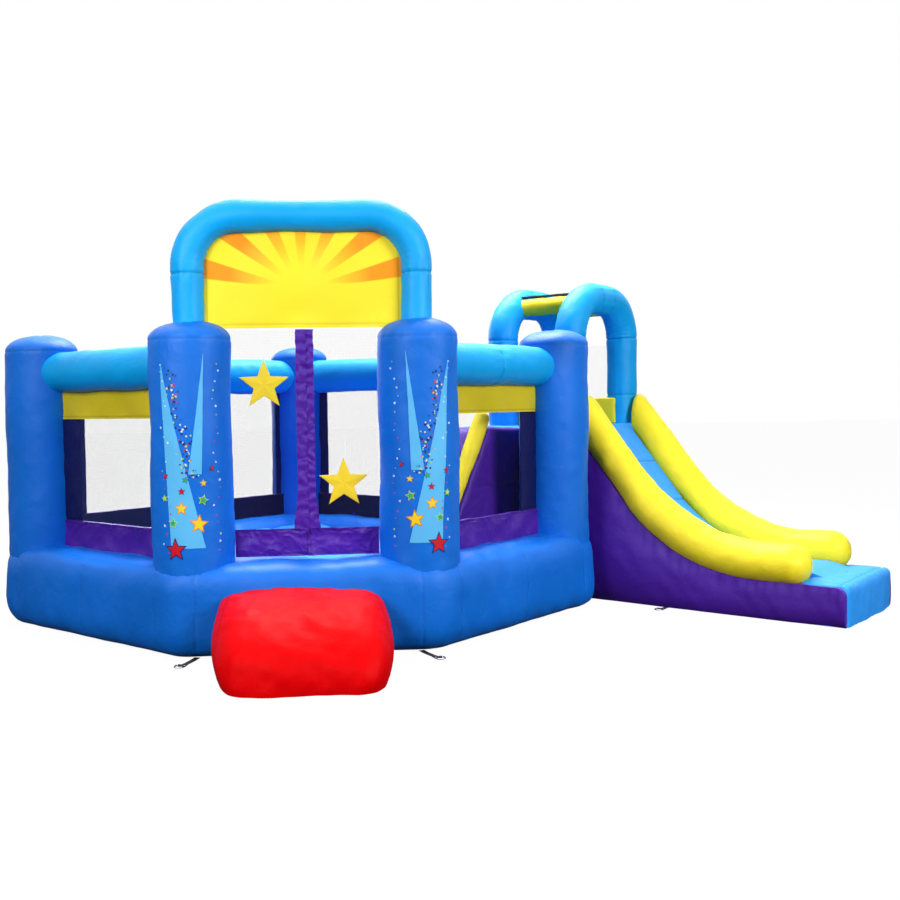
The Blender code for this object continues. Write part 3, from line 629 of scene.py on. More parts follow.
def make_column(name, seed, radius=COLUMN_RADIUS, top=COLUMN_TOP, dome=0.11, centre=None, node=None):
    """A tall round column with a crowned cap, sewn on round its shoulder."""
    centre = CORNERS[name] if centre is None else centre
    foot = 0.40
    heights = stations(top - dome - foot, 0.03, (top - dome - foot, 0.1)) + foot
    profile = [(radius, z, 1.0, 0.0) for z in heights[:-1]]
    for angle in np.radians(np.linspace(0, 88, 18)):
        cosine, sine = math.cos(angle), math.sin(angle)
        profile.append((radius * cosine ** 0.86, top - dome + dome * sine, cosine, sine))
    r, z, out, rise = (np.array(column)[:, None] for column in zip(*profile))
    theta = np.broadcast_to(turns_of(72)[None, :], (len(profile), 72))
    z = np.broadcast_to(z, theta.shape)
    height = skin(theta, z, seed)
    seam = 0.2 * mark(z - SHOULDER)
    for angle in COLUMN_LINES:
        seam = np.maximum(seam, 0.3 * mark(gap_from(theta, angle) * COLUMN_RADIUS, 0.006))
    rows = polar(r + height * out, theta, z + height * rise)
    wrap_solid(node or "column_skin_" + name, rows + centre, "blue", seam=seam,
               nodes="column_" + name if node is None else "gate_post", fill=1.0)


PRINT_COLOURS = {
    "ray": (92, 190, 246), "white": (236, 240, 250), "navy": (24, 34, 104), "pink": (196, 60, 130),
    "green": (40, 176, 84), "lime": (206, 222, 96), "gold": (246, 214, 40), "amber": (232, 132, 24),
    "crimson": (206, 18, 34),
}
for key, colour in PRINT_COLOURS.items():
    LOOKS["print_" + key] = fabric("print_" + key, srgb(*colour), wrinkle=0.2)
    SLOT_OF["print_" + key] = "blue_fabric"
# Each larger star: its place across and up the column, its radius, its colour and its edge.
BIG_STARS = (
    (0.065, 1.000, 0.020, "lime", "amber"), (-0.160, 0.917, 0.021, "lime", "green"),
    (0.062, 0.905, 0.027, "green", "lime"), (-0.060, 0.860, 0.037, "gold", "amber"),
    (-0.110, 0.778, 0.026, "green", "lime"), (0.036, 0.771, 0.050, "gold", "amber"),
    (-0.098, 0.628, 0.061, "crimson", "navy"), (-0.057, 0.955, 0.021, "crimson", "navy"),
    (-0.034, 1.019, 0.018, "green", "navy"), (-0.150, 1.044, 0.018, "crimson", "navy"),
    (0.115, 1.082, 0.017, "crimson", "navy"),
)


def star_points(radius, spin, waist=0.45):
    points = []
    for k in range(10):
        reach = radius if k % 2 == 0 else radius * waist
        turn = math.radians(90 + 36 * k) + spin
        points.append((reach * math.cos(turn), reach * math.sin(turn)))
    return np.array(points)


class Print:
    """Flat shapes laid on a column, gathered by colour: x runs round it and z up it."""

    def __init__(self, centre, front, mirror, seed):
        self.centre, self.front, self.mirror, self.seed = centre, front, mirror, seed
        self.parts = {}

    def lay(self, colour, flat, faces, rim, lift):
        points, all_faces = self.parts.setdefault(colour, ([], []))
        start = len(points)
        flat = np.array(flat)
        theta = self.front + self.mirror * flat[:, 0] / COLUMN_RADIUS
        height = skin(theta, flat[:, 1], self.seed)
        for offset in (lift + 0.0016, -0.003):
            shape = polar(COLUMN_RADIUS + height + offset, theta, flat[:, 1])
            points += (shape + self.centre).tolist()
        all_faces += [[start + i for i in face] for face in thin_faces(faces, rim, len(flat))]

    def star(self, colour, x, z, radius, spin=0.0, lift=0.0016):
        outline = star_points(radius, spin)
        flat = np.concatenate([[(0, 0)], outline / 2, outline]) + (x, z)
        faces = []
        for k in range(10):
            j = (k + 1) % 10
            faces += [[0, 1 + k, 1 + j], [1 + k, 11 + k, 11 + j, 1 + j]]
        self.lay(colour, flat, faces, list(range(11, 21)), lift)

    def ray(self, x_tip, z_tip, x0, x1, z_base):
        rows, columns = 28, 5
        share, x = np.meshgrid(np.linspace(0.02, 1, rows), np.linspace(x0, x1, columns), indexing="ij")
        flat = np.stack([x_tip + (x - x_tip) * share, z_tip + (z_base - z_tip) * share], -1)
        faces = grid_faces(rows, columns, False)
        self.lay("ray", flat.reshape(-1, 2), faces, rim_of(rows, columns), 0.001)


def make_print(name, mirror, seed):
    """Two pale rays and a rising scatter of plain stars, mirrored between the two columns."""
    rng = np.random.default_rng(77)
    sheet = Print(CORNERS[name], math.radians(-90 + 4 * mirror), mirror, seed)
    sheet.ray(-0.176, 1.68, -0.125, 0.072, 0.636)
    sheet.ray(0.082, 1.735, -0.018, 0.056, 1.05)
    for _ in range(96):
        share = rng.uniform() ** 1.25
        z = 1.03 + 0.60 * share
        x = 0.002 - 0.118 * share + rng.normal() * (0.028 - 0.014 * share)
        colour = rng.choice(["white", "navy", "pink", "navy", "lime", "navy"])
        sheet.star(colour, x, z, rng.uniform(0.004, 0.0095), rng.uniform(0, 1.2))
    for side in (-1, 1):
        for k in range(22):
            z = 0.62 + 0.05 * k + rng.uniform(-0.012, 0.012)
            x = side * (0.15 + 0.02 * math.sin(k)) + rng.normal() * 0.008
            colour = rng.choice(["white", "lime", "white", "pink"])
            sheet.star(colour, x, z, rng.uniform(0.003, 0.009), rng.uniform(0, 1.2))
    for x, z, radius, colour, edge in BIG_STARS:
        spin = rng.uniform(-0.3, 0.3)
        sheet.star(edge, x, z, radius * 1.14, spin, 0.0019)
        sheet.star(colour, x, z, radius * 0.9, spin, 0.0026)
    for colour, (points, faces) in sheet.parts.items():
        make(f"print_{name}_{colour}", np.array(points), faces, "print_" + colour)


# --- the tubes over the walls, the arch and its sign ---

def make_top_tubes():
    for seed, (side, corners) in enumerate(SIDES.items()):
        if side == "entrance":
            continue
        start, end = (CORNERS[corner] + TOP_TUBE_Z * UP for corner in corners)
        inside = 0.12
        if side == "back_right":
            start, inside = lane(POST_U, WALL_V, TOP_TUBE_Z), 0.06
        length = np.linalg.norm(end - start)
        along = (end - start) / length
        seams = ((length - inside - 0.12) * 0.47,) if side == "front_right" else ()
        tube("top_roll_" + side, "sky", [start + inside * along, end - 0.12 * along], TOP_TUBE_RADIUS,
             UP, seams=seams, seed=30 + seed, rails=(math.radians(200),), nodes="top_tube_" + side)


ARCH_TOP = 2.609
ARCH_RADIUS = 0.093
ARCH_CORNER = 0.29
ARCH_FOOT = 1.80


def make_arch():
    line = arch_line(HALF_DOOR, ARCH_TOP - ARCH_RADIUS, ARCH_CORNER, ARCH_FOOT)
    leg = ARCH_TOP - ARCH_RADIUS - ARCH_CORNER - ARCH_FOOT
    over = 2 * (ARCH_CORNER * math.pi / 2) + 2 * HALF_DOOR - 2 * ARCH_CORNER
    tube("arch_roll", "sky", [(x, 0, z) for x, z in line], ARCH_RADIUS, (0, 1, 0),
         seams=(leg - 0.04, leg + over + 0.04), seed=41, nodes="entrance_arch")


def make_sign():
    """The banner in the arch, stretched flat, with a stitched hem."""
    lap = 0.012
    half = HALF_DOOR - ARCH_RADIUS + lap
    top, bottom = ARCH_TOP - 2 * ARCH_RADIUS + lap, 1.874
    corner = ARCH_CORNER - ARCH_RADIUS
    xs = stations(2 * half, 0.02, (0.03, 2 * half - 0.03)) - half
    shares = np.r_[np.linspace(0, 0.06, 4), np.linspace(0.09, 1, 26)]
    over = np.clip(np.abs(xs) - (half - corner), 0, corner)
    ceiling = top - corner + np.sqrt(corner ** 2 - over ** 2)
    aa = np.repeat(xs[:, None], len(shares), 1)
    bb = bottom + (ceiling[:, None] - bottom) * shares[None, :]
    flat = np.stack([aa, np.zeros_like(aa), bb], -1)
    edge = np.minimum.reduce([half - np.abs(aa), bb - bottom, ceiling[:, None] - bb])
    out = 0.004 * waves(flat, 0.3, 51) * np.clip(edge / 0.08, 0, 1)
    out = out + 0.0012 * np.exp(-np.abs(edge) / 0.05) * np.sin((aa + bb) / 0.013)
    front, back = (np.stack([aa, out + side, bb], -1) for side in (-0.002, 0.002))
    banner = leaf_solid("sign_banner", front, back, "sign", mark(edge - 0.025), nodes="sign_panel")


# --- the door ---

def crumple(size, depth, seed):
    """Crumpled cloth: soft waves with sharp creases over them."""
    def bulge(a, b, points):
        sharp = creases(points, size * 0.8, seed + 5)
        return depth * (0.6 * waves(points, size, seed) + 1.6 * sharp - 0.6)
    return bulge


def gathers(seed):
    """Cloth drawn up along its length: sharp level folds, a few centimetres apart."""
    def bulge(a, b, points):
        phase = b / 0.0125 + 3.4 * waves(points, 0.13, seed)
        return 0.0042 * np.abs(np.sin(phase)) ** 0.6 + 0.002 * waves(points, 0.05, seed + 3)
    return bulge


def make_door():
    """Two net flaps that meet at a gathered tape, each with a crumpled hem and a star."""
    outer = HALF_DOOR - COLUMN_RADIUS - 0.012 + 0.008
    top, waist, bottom = 1.865, LOW_WALL_TOP + 0.008, 0.547
    tape = 0.052
    for name, sign, inner, behind, star in (("left", -1, -0.008, 0.0, (0.236, 1.545)),
                                            ("right", 1, 0.004, -0.006, (0.217, 0.968))):
        body, mesh = "door_" + name, "door_mesh_" + name
        place = placing(np.zeros(3), (sign, 0, 0), (0, -1, 0), UP)
        rumple = crumple(0.11, 0.0075, 61 + sign)

        def settled(a, b, points):
            return rumple(a, b, points) * np.clip((outer - a) / 0.07, 0, 1)

        def ruched(a, out, b):
            sway = sign * (0.0016 * np.sin(b / 0.021) + 0.0010 * np.sin(b / 0.0087))
            return place(a * (1 + 0.5 * np.clip((0.90 - b) / 0.19, 0, 1)) + sway, out, b)

        net(mesh, place, (tape, outer), (LOW_WALL_TOP, top), body=body, nodes="door_net_" + name)
        cloth("door_hem_" + name, "purple", place, (inner, outer), (bottom, waist), 0.003, 0.009,
              settled, 0.012, behind, held="hung", rests_on=mesh, body=body,
              nodes="door_border_" + name)
        cloth("door_tape_" + name, "purple", ruched, (inner, tape), (waist, top), 0.003, 0.007,
              gathers(66 + sign), 0.0, behind, held="hung", rests_on=mesh, body=body)
        make_star("door_emblem_" + name, place, *star, 0.151, body, "door_star_" + name)


def make_star(name, place, x, z, radius, body, node):
    """A lightly padded star with a crease from its middle to each tip."""
    tips = star_points(radius, 0.0, 0.42)
    ahead = np.roll(tips, -1, axis=0) - tips
    outline = (tips[:, None] + ahead[:, None] * [[0], [0.34], [0.67]]).reshape(-1, 2)
    turn = np.arctan2(outline[:, 1], outline[:, 0])
    ridge = 0.16 * np.cos(5 * (turn - math.pi / 2)) + 0.84
    shares = (0.05, 0.2, 0.4, 0.6, 0.8, 0.93, 0.985, 1.0)
    rings = [(share, 0.0035 + 0.005 * math.sqrt(1 - share ** 2) * ridge) for share in shares]
    rings += [(share, 0.0035 - 0.002 * (1 - share)) for share in shares[::-1]]
    rows = [place(x + outline[:, 0] * share, out, z + outline[:, 1] * share) for share, out in rings]
    wrap_solid(name, np.array(rows), "star", body=body, nodes=node, fill=0.3)


# --- the walls ---

VALANCE_FOOT = 1.36
WALL_FOOT = BASE_HEIGHT - 0.03
# Widths of the navy strips of painted shade beside each window. At the back they are window borders
# coloured as the shade inside the room; at the front they are wider strips that stand for the shaded
# column seen through the net.
BACK_PAINTED_SHADE_BANDS = (0.07, 0.11)
FRONT_PAINTED_SHADE_BANDS = {"front_left": (0.21, 0.0), "front_right": (0.0, 0.21)}


def make_walls():
    """Each side's low padded wall, its valance or a dark sheet of painted shade on its inner face, and
    its window with navy bands of painted shade.
    """
    top = TOP_TUBE_Z - TOP_TUBE_RADIUS + 0.02
    clear = COLUMN_RADIUS - 0.02
    for seed, side in enumerate(("front_right", "front_left", "back_left", "back_right")):
        place, length = side_place(side)
        start, end = clear, length - clear
        if side == "back_right":
            start = np.linalg.norm(CORNERS["right"] - lane(POST_U, WALL_V, 0)) + 0.09
        low = "wall_pad_" + side

        def pad(a, b, points):
            sharp = creases(points, 0.13, 75 + seed) - 0.4
            return 0.006 * waves(points, 0.16, 71 + seed) + 0.009 * sharp

        def slack(a, b, points):
            loose = (top - b) / (top - VALANCE_FOOT)
            sharp = creases(points, 0.2, 83 + seed)
            return 0.008 * loose * waves(points, 0.35, 81 + seed) + 0.003 * loose * sharp

        panel(low, "purple", place, (start, end), (WALL_FOOT, LOW_WALL_TOP), 0.03, 0.014, pad, 0.016,
              nodes="low_wall_" + side, fill=0.3)
        if side in FRONT_PAINTED_SHADE_BANDS:
            ceiling = VALANCE_FOOT
            # The valance's darker yellow is painted shade from the top tube above it.
            cloth("valance_flap_" + side, "valance", place, (start, end), (VALANCE_FOOT, top), 0.003,
                  0.016, slack, 0.014, held="hung", rests_on="top_roll_" + side,
                  nodes="valance_" + side)
        else:
            ceiling = top
            # Painted shade: a dark purple sheet on the back wall's inner face, where the room is in
            # shade.
            cloth("painted_shade_sheet_" + side, "painted_shade_purple", place, (start, end), (WALL_FOOT, LOW_WALL_TOP),
                  0.003, 0.014, None, 0.0, -0.029, rests_on=low)
        first, last = FRONT_PAINTED_SHADE_BANDS.get(side, BACK_PAINTED_SHADE_BANDS)
        left, right = start + first, end - last
        bands = [band for band in ((start, left), (right, end)) if band[0] < band[1]]
        # The navy bands are painted shade, not a fabric of their own colour.
        for k, band in enumerate(bands):
            cloth(f"painted_shade_band_{side}_{k}", "navy", place, band, (LOW_WALL_TOP, ceiling), 0.004,
                  0.016, crumple(0.14, 0.002, 90 + seed + k), 0.01, rests_on=low)
        net("window_mesh_" + side, place, (left, right), (LOW_WALL_TOP, ceiling), nodes="net_" + side)


# --- the step ---

def make_step():
    """The red step: a bolster sewn to the base, highest along it and rounded down to the ground."""
    centre_x, half, height, depth = -0.045, 0.487, 0.40, 0.78
    back = -0.262
    seam_x = 0.452
    turns = np.radians(np.linspace(0, 90, 46))
    c, s = np.cos(turns), np.sin(turns)
    over = np.stack([s ** (2 / 2.2), c ** (2 / 2.2)], -1)
    under = np.stack([np.linspace(1, 0, 12)[1:], np.zeros(11)], -1)
    wall = np.stack([np.zeros(10), np.linspace(0, 1, 12)[1:-1]], -1)
    section = np.concatenate([over, under, wall])
    facing = np.concatenate([np.stack([s, c], -1), np.zeros((21, 2))])
    shares = np.sin(np.linspace(-math.pi / 2, math.pi / 2, 111))
    fall = np.maximum(0.0, 1 - (0.994 * np.abs(shares)) ** 7) ** 0.33
    y = back - depth * fall[:, None] * section[None, :, 0]
    z = height * (0.75 + 0.25 * fall[:, None]) * section[None, :, 1]
    tall = z / height
    barrel = 1 - 0.13 * np.clip(tall - 0.35, 0, 1) ** 2 / 0.42
    barrel = barrel - 0.07 * np.clip(0.4 - tall, 0, 1) ** 2 / 0.16
    x = centre_x + (shares * half)[:, None] * barrel
    rows = np.stack([x, y, z], -1)
    from_seam = np.abs(shares)[:, None] * half - seam_x
    along = np.broadcast_to(np.arange(len(section))[None, :] * 0.026, y.shape)
    bump = bumps(rows, 101, (0.007, 0.34), (0.0022, 0.1))
    bump = bump + relief(from_seam, along, 5, 0.003)
    pull = np.exp(-(height - z) / 0.05) * np.exp(-(back - y) / 0.12)
    bump = bump + 0.0014 * pull * np.sin(x / 0.017 + 2 * np.sin(x / 0.09))
    rows[..., 1:] += bump[..., None] * facing[None] * (-1, 1)
    rows[..., 2] = np.clip(rows[..., 2], 0, None)
    seam = 0.6 * np.broadcast_to(mark(from_seam), bump.shape)
    wrap_solid("step_bolster", rows, "red", seam=seam, nodes="entrance_step", fill=0.9)


# --- the climbing wall, the tower and the slide ---

def block(name, look, place, a, b, c, corner, seed, step=0.025, swell=0.008, seams=(), crown=0.0,
          floor=None, **more):
    """A soft block over ranges a, b and c: place(a, b, c), with rounded edges and seams across a.

    It is cut off flat at the height floor, or at its own lowest height.
    """
    low, high = np.array((a, b, c), float).T
    divisions = []
    for start, size in zip(low, high - low):
        edge = np.array((0, 0.15, 0.5, 1)) * corner
        inner = np.linspace(corner, size - corner, max(3, round((size - 2 * corner) / step)))
        divisions.append(np.unique(np.r_[edge, inner, size - edge]) + start)
    if seams:
        offsets = (-0.018, -0.009, -0.004, 0, 0.004, 0.009, 0.018)
        extra = [seam + offset for seam in seams for offset in offsets]
        divisions[0] = np.unique(np.round(np.r_[divisions[0], extra], 5))
    index, faces = {}, []
    for axis in (2, 1, 0):
        first, second = (k for k in range(3) if k != axis)
        for i in range(len(divisions[first]) - 1):
            for j in range(len(divisions[second]) - 1):
                for end in (0, len(divisions[axis]) - 1):
                    face = []
                    for corner_i, corner_j in ((i, j), (i + 1, j), (i + 1, j + 1), (i, j + 1)):
                        spot = [end] * 3
                        spot[first], spot[second] = corner_i, corner_j
                        face.append(index.setdefault(tuple(spot), len(index)))
                    faces.append(face)
    flat = np.array([[d[k] for d, k in zip(divisions, spot)] for spot in index])
    core = np.clip(flat, low + corner, high - corner)
    away = flat - core
    normal = away / np.maximum(np.linalg.norm(away, axis=1, keepdims=True), 1e-9)
    height = bumps(flat, seed, (0.5 * swell, 0.35), (0.15 * swell, 0.1))
    seam = np.zeros(len(flat))
    for line in seams:
        gap = flat[:, 0] - line
        height = height + relief(gap, flat[:, 1] + flat[:, 2], seed + line, 0.006)
        seam = np.maximum(seam, mark(gap))
    share = (flat - low) / (high - low)
    dome = np.sin(math.pi * share[:, 0]) * np.sin(math.pi * share[:, 1])
    height = height + crown * dome * (normal[:, 2] > 0.5)
    moved = core + normal * (corner + height[:, None])
    moved[:, 2] = np.maximum(moved[:, 2], low[2] if floor is None else floor)
    return make(name, place(*moved.T), faces, look, seam=seam, **more)


def pillow(name, look, place, outline, low, high, middle, seed, corner=0.03, swell=0.006, lines=(),
           **more):
    """A soft prism: an outline of (a, b) points carried from low to high, with rounded rims.

    place(a, depth, b) puts it in the house; the end faces shrink towards middle, and lines are
    heights at which a sewn channel runs round it.
    """
    corners = np.array(outline, float)
    dense = []
    for first, last in zip(corners, np.roll(corners, -1, axis=0)):
        count = max(2, round(np.linalg.norm(last - first) / 0.02))
        dense += [first + (last - first) * k / count for k in range(count)]
    smooth = np.array(dense)
    for _ in range(3):
        smooth = (np.roll(smooth, 1, 0) + 2 * smooth + np.roll(smooth, -1, 0)) / 4
    span = np.linalg.norm(smooth - middle, axis=1, keepdims=True)
    outward = (smooth - middle) / span
    turns = np.radians(np.linspace(0, 90, 6))
    cap = [(0.0, share) for share in (0.12, 0.3, 0.5, 0.7, 0.86, 0.96)]
    cap += list(zip(corner * (1 - np.cos(turns)), corner * (np.sin(turns) - 1)))
    inner = np.linspace(corner, high - low - corner, max(4, round((high - low) / 0.025)))[1:-1]
    rings = [(depth, inset, -1) for depth, inset in cap] + [(depth, 0.0, 0) for depth in inner]
    rings += [(high - low - depth, inset, 1) for depth, inset in cap[::-1]]
    rows = []
    for depth, inset, end in rings:
        on_cap = inset > 0
        if on_cap:
            flat = middle + (smooth - middle) * inset * (1 - corner / span)
        else:
            flat = smooth + outward * inset
        spots = np.c_[flat, np.full(len(flat), depth)]
        bump = bumps(spots, seed, (0.5 * swell, 0.3), (0.2 * swell, 0.09))
        for line in lines:
            bump = bump + relief(flat[:, 1] - line, flat[:, 0] + depth, seed + line, 0.007)
        if on_cap:
            rows.append(place(flat[:, 0], low + depth + end * (0.010 * (1 - inset) + bump), flat[:, 1]))
        else:
            moved = flat + outward * bump[:, None]
            rows.append(place(moved[:, 0], low + depth, moved[:, 1]))
    return wrap_solid(name, np.array(rows), look, **more)


CLIMB_SLOPE = math.radians(57)
CLIMB_TOP_V = 1.57
CLIMB_BACK_V = 2.0


def make_climb():
    """A wedge of inflated cloth up to the deck, with a yellow tube along each edge of its slope."""
    tangent = math.tan(CLIMB_SLOPE)
    foot_z, ledge_z = 0.461, 0.531
    foot_v = CLIMB_TOP_V - (DECK_TOP - foot_z) / tangent
    base_v = WALL_V - BASE_HALF_WIDTH - 0.003
    outline = [(foot_v, foot_z), (base_v, foot_z), (base_v, ledge_z), (CLIMB_BACK_V, ledge_z)]
    outline += [(CLIMB_BACK_V, DECK_TOP), (CLIMB_TOP_V, DECK_TOP)]
    pillow("climb_wedge", "purple", placing(np.zeros(3), V_AXIS, U_AXIS, UP), outline, -0.22, 0.22,
           (1.68, 0.86), 111, lines=(0.66, 0.86, 1.06), nodes="climbing_wall", fill=0.9)
    radius = 0.05
    lift_v, lift_z = (radius + 0.001) * math.sin(CLIMB_SLOPE), (radius + 0.001) * math.cos(CLIMB_SLOPE)

    def girth(s, total):
        end = np.clip(np.minimum(s, total - s) / 0.04, 0, 1)
        return radius * np.sqrt(1 - 0.97 * (1 - end) ** 2)

    for name, u in (("left", -0.17), ("right", 0.17)):
        path = [lane(u, v - lift_v, foot_z + (v - foot_v) * tangent + lift_z)
                for v in (foot_v + 0.03, CLIMB_TOP_V + 0.05)]
        tube("climb_roll_" + name, "yellow", path, girth, U_AXIS, seed=113, sides=32, step=0.01,
             nodes="climb_tube_" + name)


LANE_MIDDLE = (LANE_INNER + LANE_OUTER) / 2
LANE_HALF = (LANE_OUTER - LANE_INNER) / 2
TOWER_TUBE_RADIUS = 0.114
TOWER_TOP = 2.31 - TOWER_TUBE_RADIUS


def make_tower():
    """The padded block and its deck, two arches with rails and straps, and the guards."""
    inner = WALL_V + BASE_HALF_WIDTH + 0.003
    block("tower_block", "purple", lane, (TOWER_BACK_U, TOWER_FRONT_U), (inner, LANE_OUTER), (0, 1.135),
          0.05, 121, nodes="tower_base", fill=1.0, swell=0.01)
    block("tower_floor", "bed", lane, (TOWER_BACK_U, TOWER_FRONT_U), (2.0003, LANE_OUTER),
          (1.13, DECK_TOP), 0.04, 123, swell=0.004, nodes="tower_deck", fill=0.9)
    # Painted shade: a navy sheet on the block's face towards the room, standing for the shade that
    # falls there.
    facing = placing(lane(0, inner - 0.004, 0), U_AXIS, V_AXIS, UP)
    cloth("tower_painted_shade_sheet", "navy", facing, (TOWER_BACK_U + 0.05, 0.40), (0.54, 1.128), 0.004, 0.02,
          crumple(0.2, 0.0015, 127), 0.012, rests_on="tower_block")
    half, corner, foot = LANE_HALF - TOWER_TUBE_RADIUS, 0.30, 1.235
    leg, quarter, flat = TOWER_TOP - corner - foot, corner * math.pi / 2, 2 * half - 2 * corner
    seams = (0.215, leg, leg + quarter, leg + quarter + flat, leg + 2 * quarter + flat,
             2 * leg + 2 * quarter + flat - 0.215)
    for seed, (name, u) in enumerate((("back", -0.238), ("front", 0.345))):
        path = [lane(u, LANE_MIDDLE + across + 0.027 * min(0, across / half), z)
                for across, z in arch_line(half, TOWER_TOP, corner, foot)]
        tube("tower_roll_" + name, "sky", path, TOWER_TUBE_RADIUS, U_AXIS, seams=seams,
             seed=125 + seed, bend=0.013, nodes="tower_arch_" + name)
    rails = LANE_MIDDLE - half + 0.13, LANE_MIDDLE + half - 0.13
    for name, v in zip(("near", "far"), rails):
        tube("rail_roll_" + name, "yellow", [lane(-0.20, v, 2.155), lane(0.31, v, 2.155)], 0.065,
             V_AXIS, seed=131, sides=32, nodes="tower_rail_" + name)
    back, far = -0.121, LANE_OUTER - 2 * TOWER_TUBE_RADIUS - 0.003
    guards = (
        ("back", placing(lane(back + 0.003, 0, 0), V_AXIS, -U_AXIS, UP),
         (LANE_INNER + TOWER_TUBE_RADIUS, far), "tower_net"),
        ("far", placing(lane(0, far - 0.003, 0), U_AXIS, V_AXIS, UP), (back, 0.345), ()),
    )
    for name, place, span, nodes in guards:
        net("guard_mesh_" + name, place, span, (DECK_TOP, 1.86), bow=0.002, nodes=nodes)
    for name, place, span, _ in guards:
        block("guard_pad_" + name, "yellow", place, span, (-0.02, 0.012), (DECK_TOP, DECK_TOP + 0.2),
              0.014, 133, step=0.02, swell=0.004, fill=0.5)
    overhead = placing(lane(0, 0, TOWER_TOP - 0.003), U_AXIS, UP, V_AXIS)
    span = (-0.205, 0.312)
    flat_strap, rail_strap = (0.0, 0.016, 0.002), (0.036, 0.026, 0.012)
    straps = [(LANE_MIDDLE + shift, *flat_strap) for shift in (-0.11, 0, 0.11)]
    straps += [(v, *rail_strap) for v in rails]
    for k, (v, lift, wide, thick) in enumerate(straps):
        cloth(f"roof_strap_{k}", "webbing", overhead, span, (v - wide, v + wide), thick, 0.012,
              crumple(0.2, 0.0012, 135 + k), 0.0, lift, rests_on="tower_roll_front",
              nodes="tower_roof_net" if k == 0 else ())
    net("roof_mesh", overhead, span, (LANE_MIDDLE - 0.14, LANE_MIDDLE + 0.14), pitch=0.02,
        cord=0.0014, bow=0.0, look="black_net")


SLIDE_ANGLE = math.radians(52)
SLIDE_BEND = 1.08
RUN_OUT_Z = 0.355
SLIDE_END = 2.055
SLIDE_TUBE_RADIUS = 0.137


def slide_line(lift, start_u, end_u, steps=40):
    """The slide's side view, lifted square to its tubes' centre line."""
    bend_top_z = RUN_OUT_Z + SLIDE_BEND * (1 - math.cos(SLIDE_ANGLE))
    bend_top_u = TOWER_FRONT_U + (1.29 - bend_top_z) / math.tan(SLIDE_ANGLE)
    centre = (bend_top_u + SLIDE_BEND * math.sin(SLIDE_ANGLE), RUN_OUT_Z + SLIDE_BEND)
    bend = arc(centre, SLIDE_BEND - lift, 270 - math.degrees(SLIDE_ANGLE), 270, steps)
    rise = (bend[0][0] - start_u) * math.tan(SLIDE_ANGLE)
    return np.array([(start_u, bend[0][1] + rise), *bend, (end_u, bend[-1][1])])


def make_slide_tubes():
    """The yellow side tubes, which are slimmer over their upper part than along the run-out."""
    for seed, (name, v, slim) in enumerate((("near", 2.466, 0.016), ("far", 3.264, 0.004))):
        line = slide_line(0, TOWER_FRONT_U - 0.03, SLIDE_END)
        straight = line[0] + (line[1] - line[0]) * np.linspace(0, 1, 9)[:-1, None]
        line = np.concatenate([straight, line[1:]])
        ahead = unit(np.gradient(line, axis=0))

        def slimness(s):
            share = np.clip((0.95 - s) / 0.45, 0, 1)
            return slim * share * share * (3 - 2 * share)

        def girth(s, total):
            first, last = np.clip(1 - s / 0.06, 0, 1), np.clip(1 - (total - s) / 0.13, 0, 1)
            ends = np.sqrt((1 - first ** 2 * 0.7) * (1 - last ** 2 * 0.995))
            return (SLIDE_TUBE_RADIUS - slimness(s)) * ends

        line = line + np.stack([ahead[:, 1], -ahead[:, 0]], -1) * slimness(run_of(line))[:, None]
        path = [lane(u + slim * 0.7 * math.exp(-k / 4), v, z) for k, (u, z) in enumerate(line)]
        tube("slide_roll_" + name, "yellow", path, girth, V_AXIS, seed=141 + seed, swell=0.004,
             rails=(math.radians(95),), nodes="slide_tube_" + name, sides=56, mitre=0.32)


def make_skirt():
    """The purple body under the slide, whose side walls belly out and pucker below the tubes."""
    line = slide_line(0.03 - SLIDE_TUBE_RADIUS, TOWER_FRONT_U, SLIDE_END + 0.003, 60)
    end, edge = 2.284, 0.055
    rim = np.sin(np.radians(np.linspace(8, 90, 12)))
    us = np.r_[np.linspace(TOWER_FRONT_U, end - edge, 90), end - edge * (1 - rim)]
    over = np.clip(us - end + edge, 0, edge)
    tops = np.interp(us, *line.T) - edge + np.sqrt(np.maximum(edge ** 2 - over ** 2, 0))
    tops = tops[:, None]
    shares = np.linspace(0, 1, 22)
    around = [(-1, share) for share in shares]
    around += [(share, 1) for share in np.linspace(-1, 1, 12)[1:-1]]
    around += [(1, share) for share in shares[::-1]]
    around += [(share, 0) for share in np.linspace(1, -1, 8)[1:-1]]
    side, tall = np.array(around).T[:, None, :]
    walls = np.abs(side) > 0.99
    zz = tops * tall
    vv = LANE_MIDDLE + side * (LANE_HALF - 0.010 * np.exp(-zz / 0.02) * walls)
    uu = np.broadcast_to(us[:, None], zz.shape)
    bulge = bumps(lane(uu, vv, zz), 151, (0.003, 0.4), (0.001, 0.1))
    below_tube = np.clip(1 - (tops - zz) / 0.16, 0, 1)
    bulge = bulge + 0.003 * below_tube * np.sin(uu / 0.012 + 2 * np.sin(uu / 0.07))
    depth = np.clip(zz / np.maximum(tops, 0.01), 0, 1)
    belly = np.sin(math.pi * depth ** 0.75) - 0.35 * (1 - depth) ** 2
    bulge = (bulge + 0.045 * np.minimum(1, tops / 0.8) * belly) * walls
    seam = 0.6 * mark(uu - 1.30, 0.006) * walls
    wrap_solid("slide_skirt", lane(uu, vv + np.sign(side) * bulge, zz), "purple", seam=seam,
               nodes="slide_body", fill=1.0)


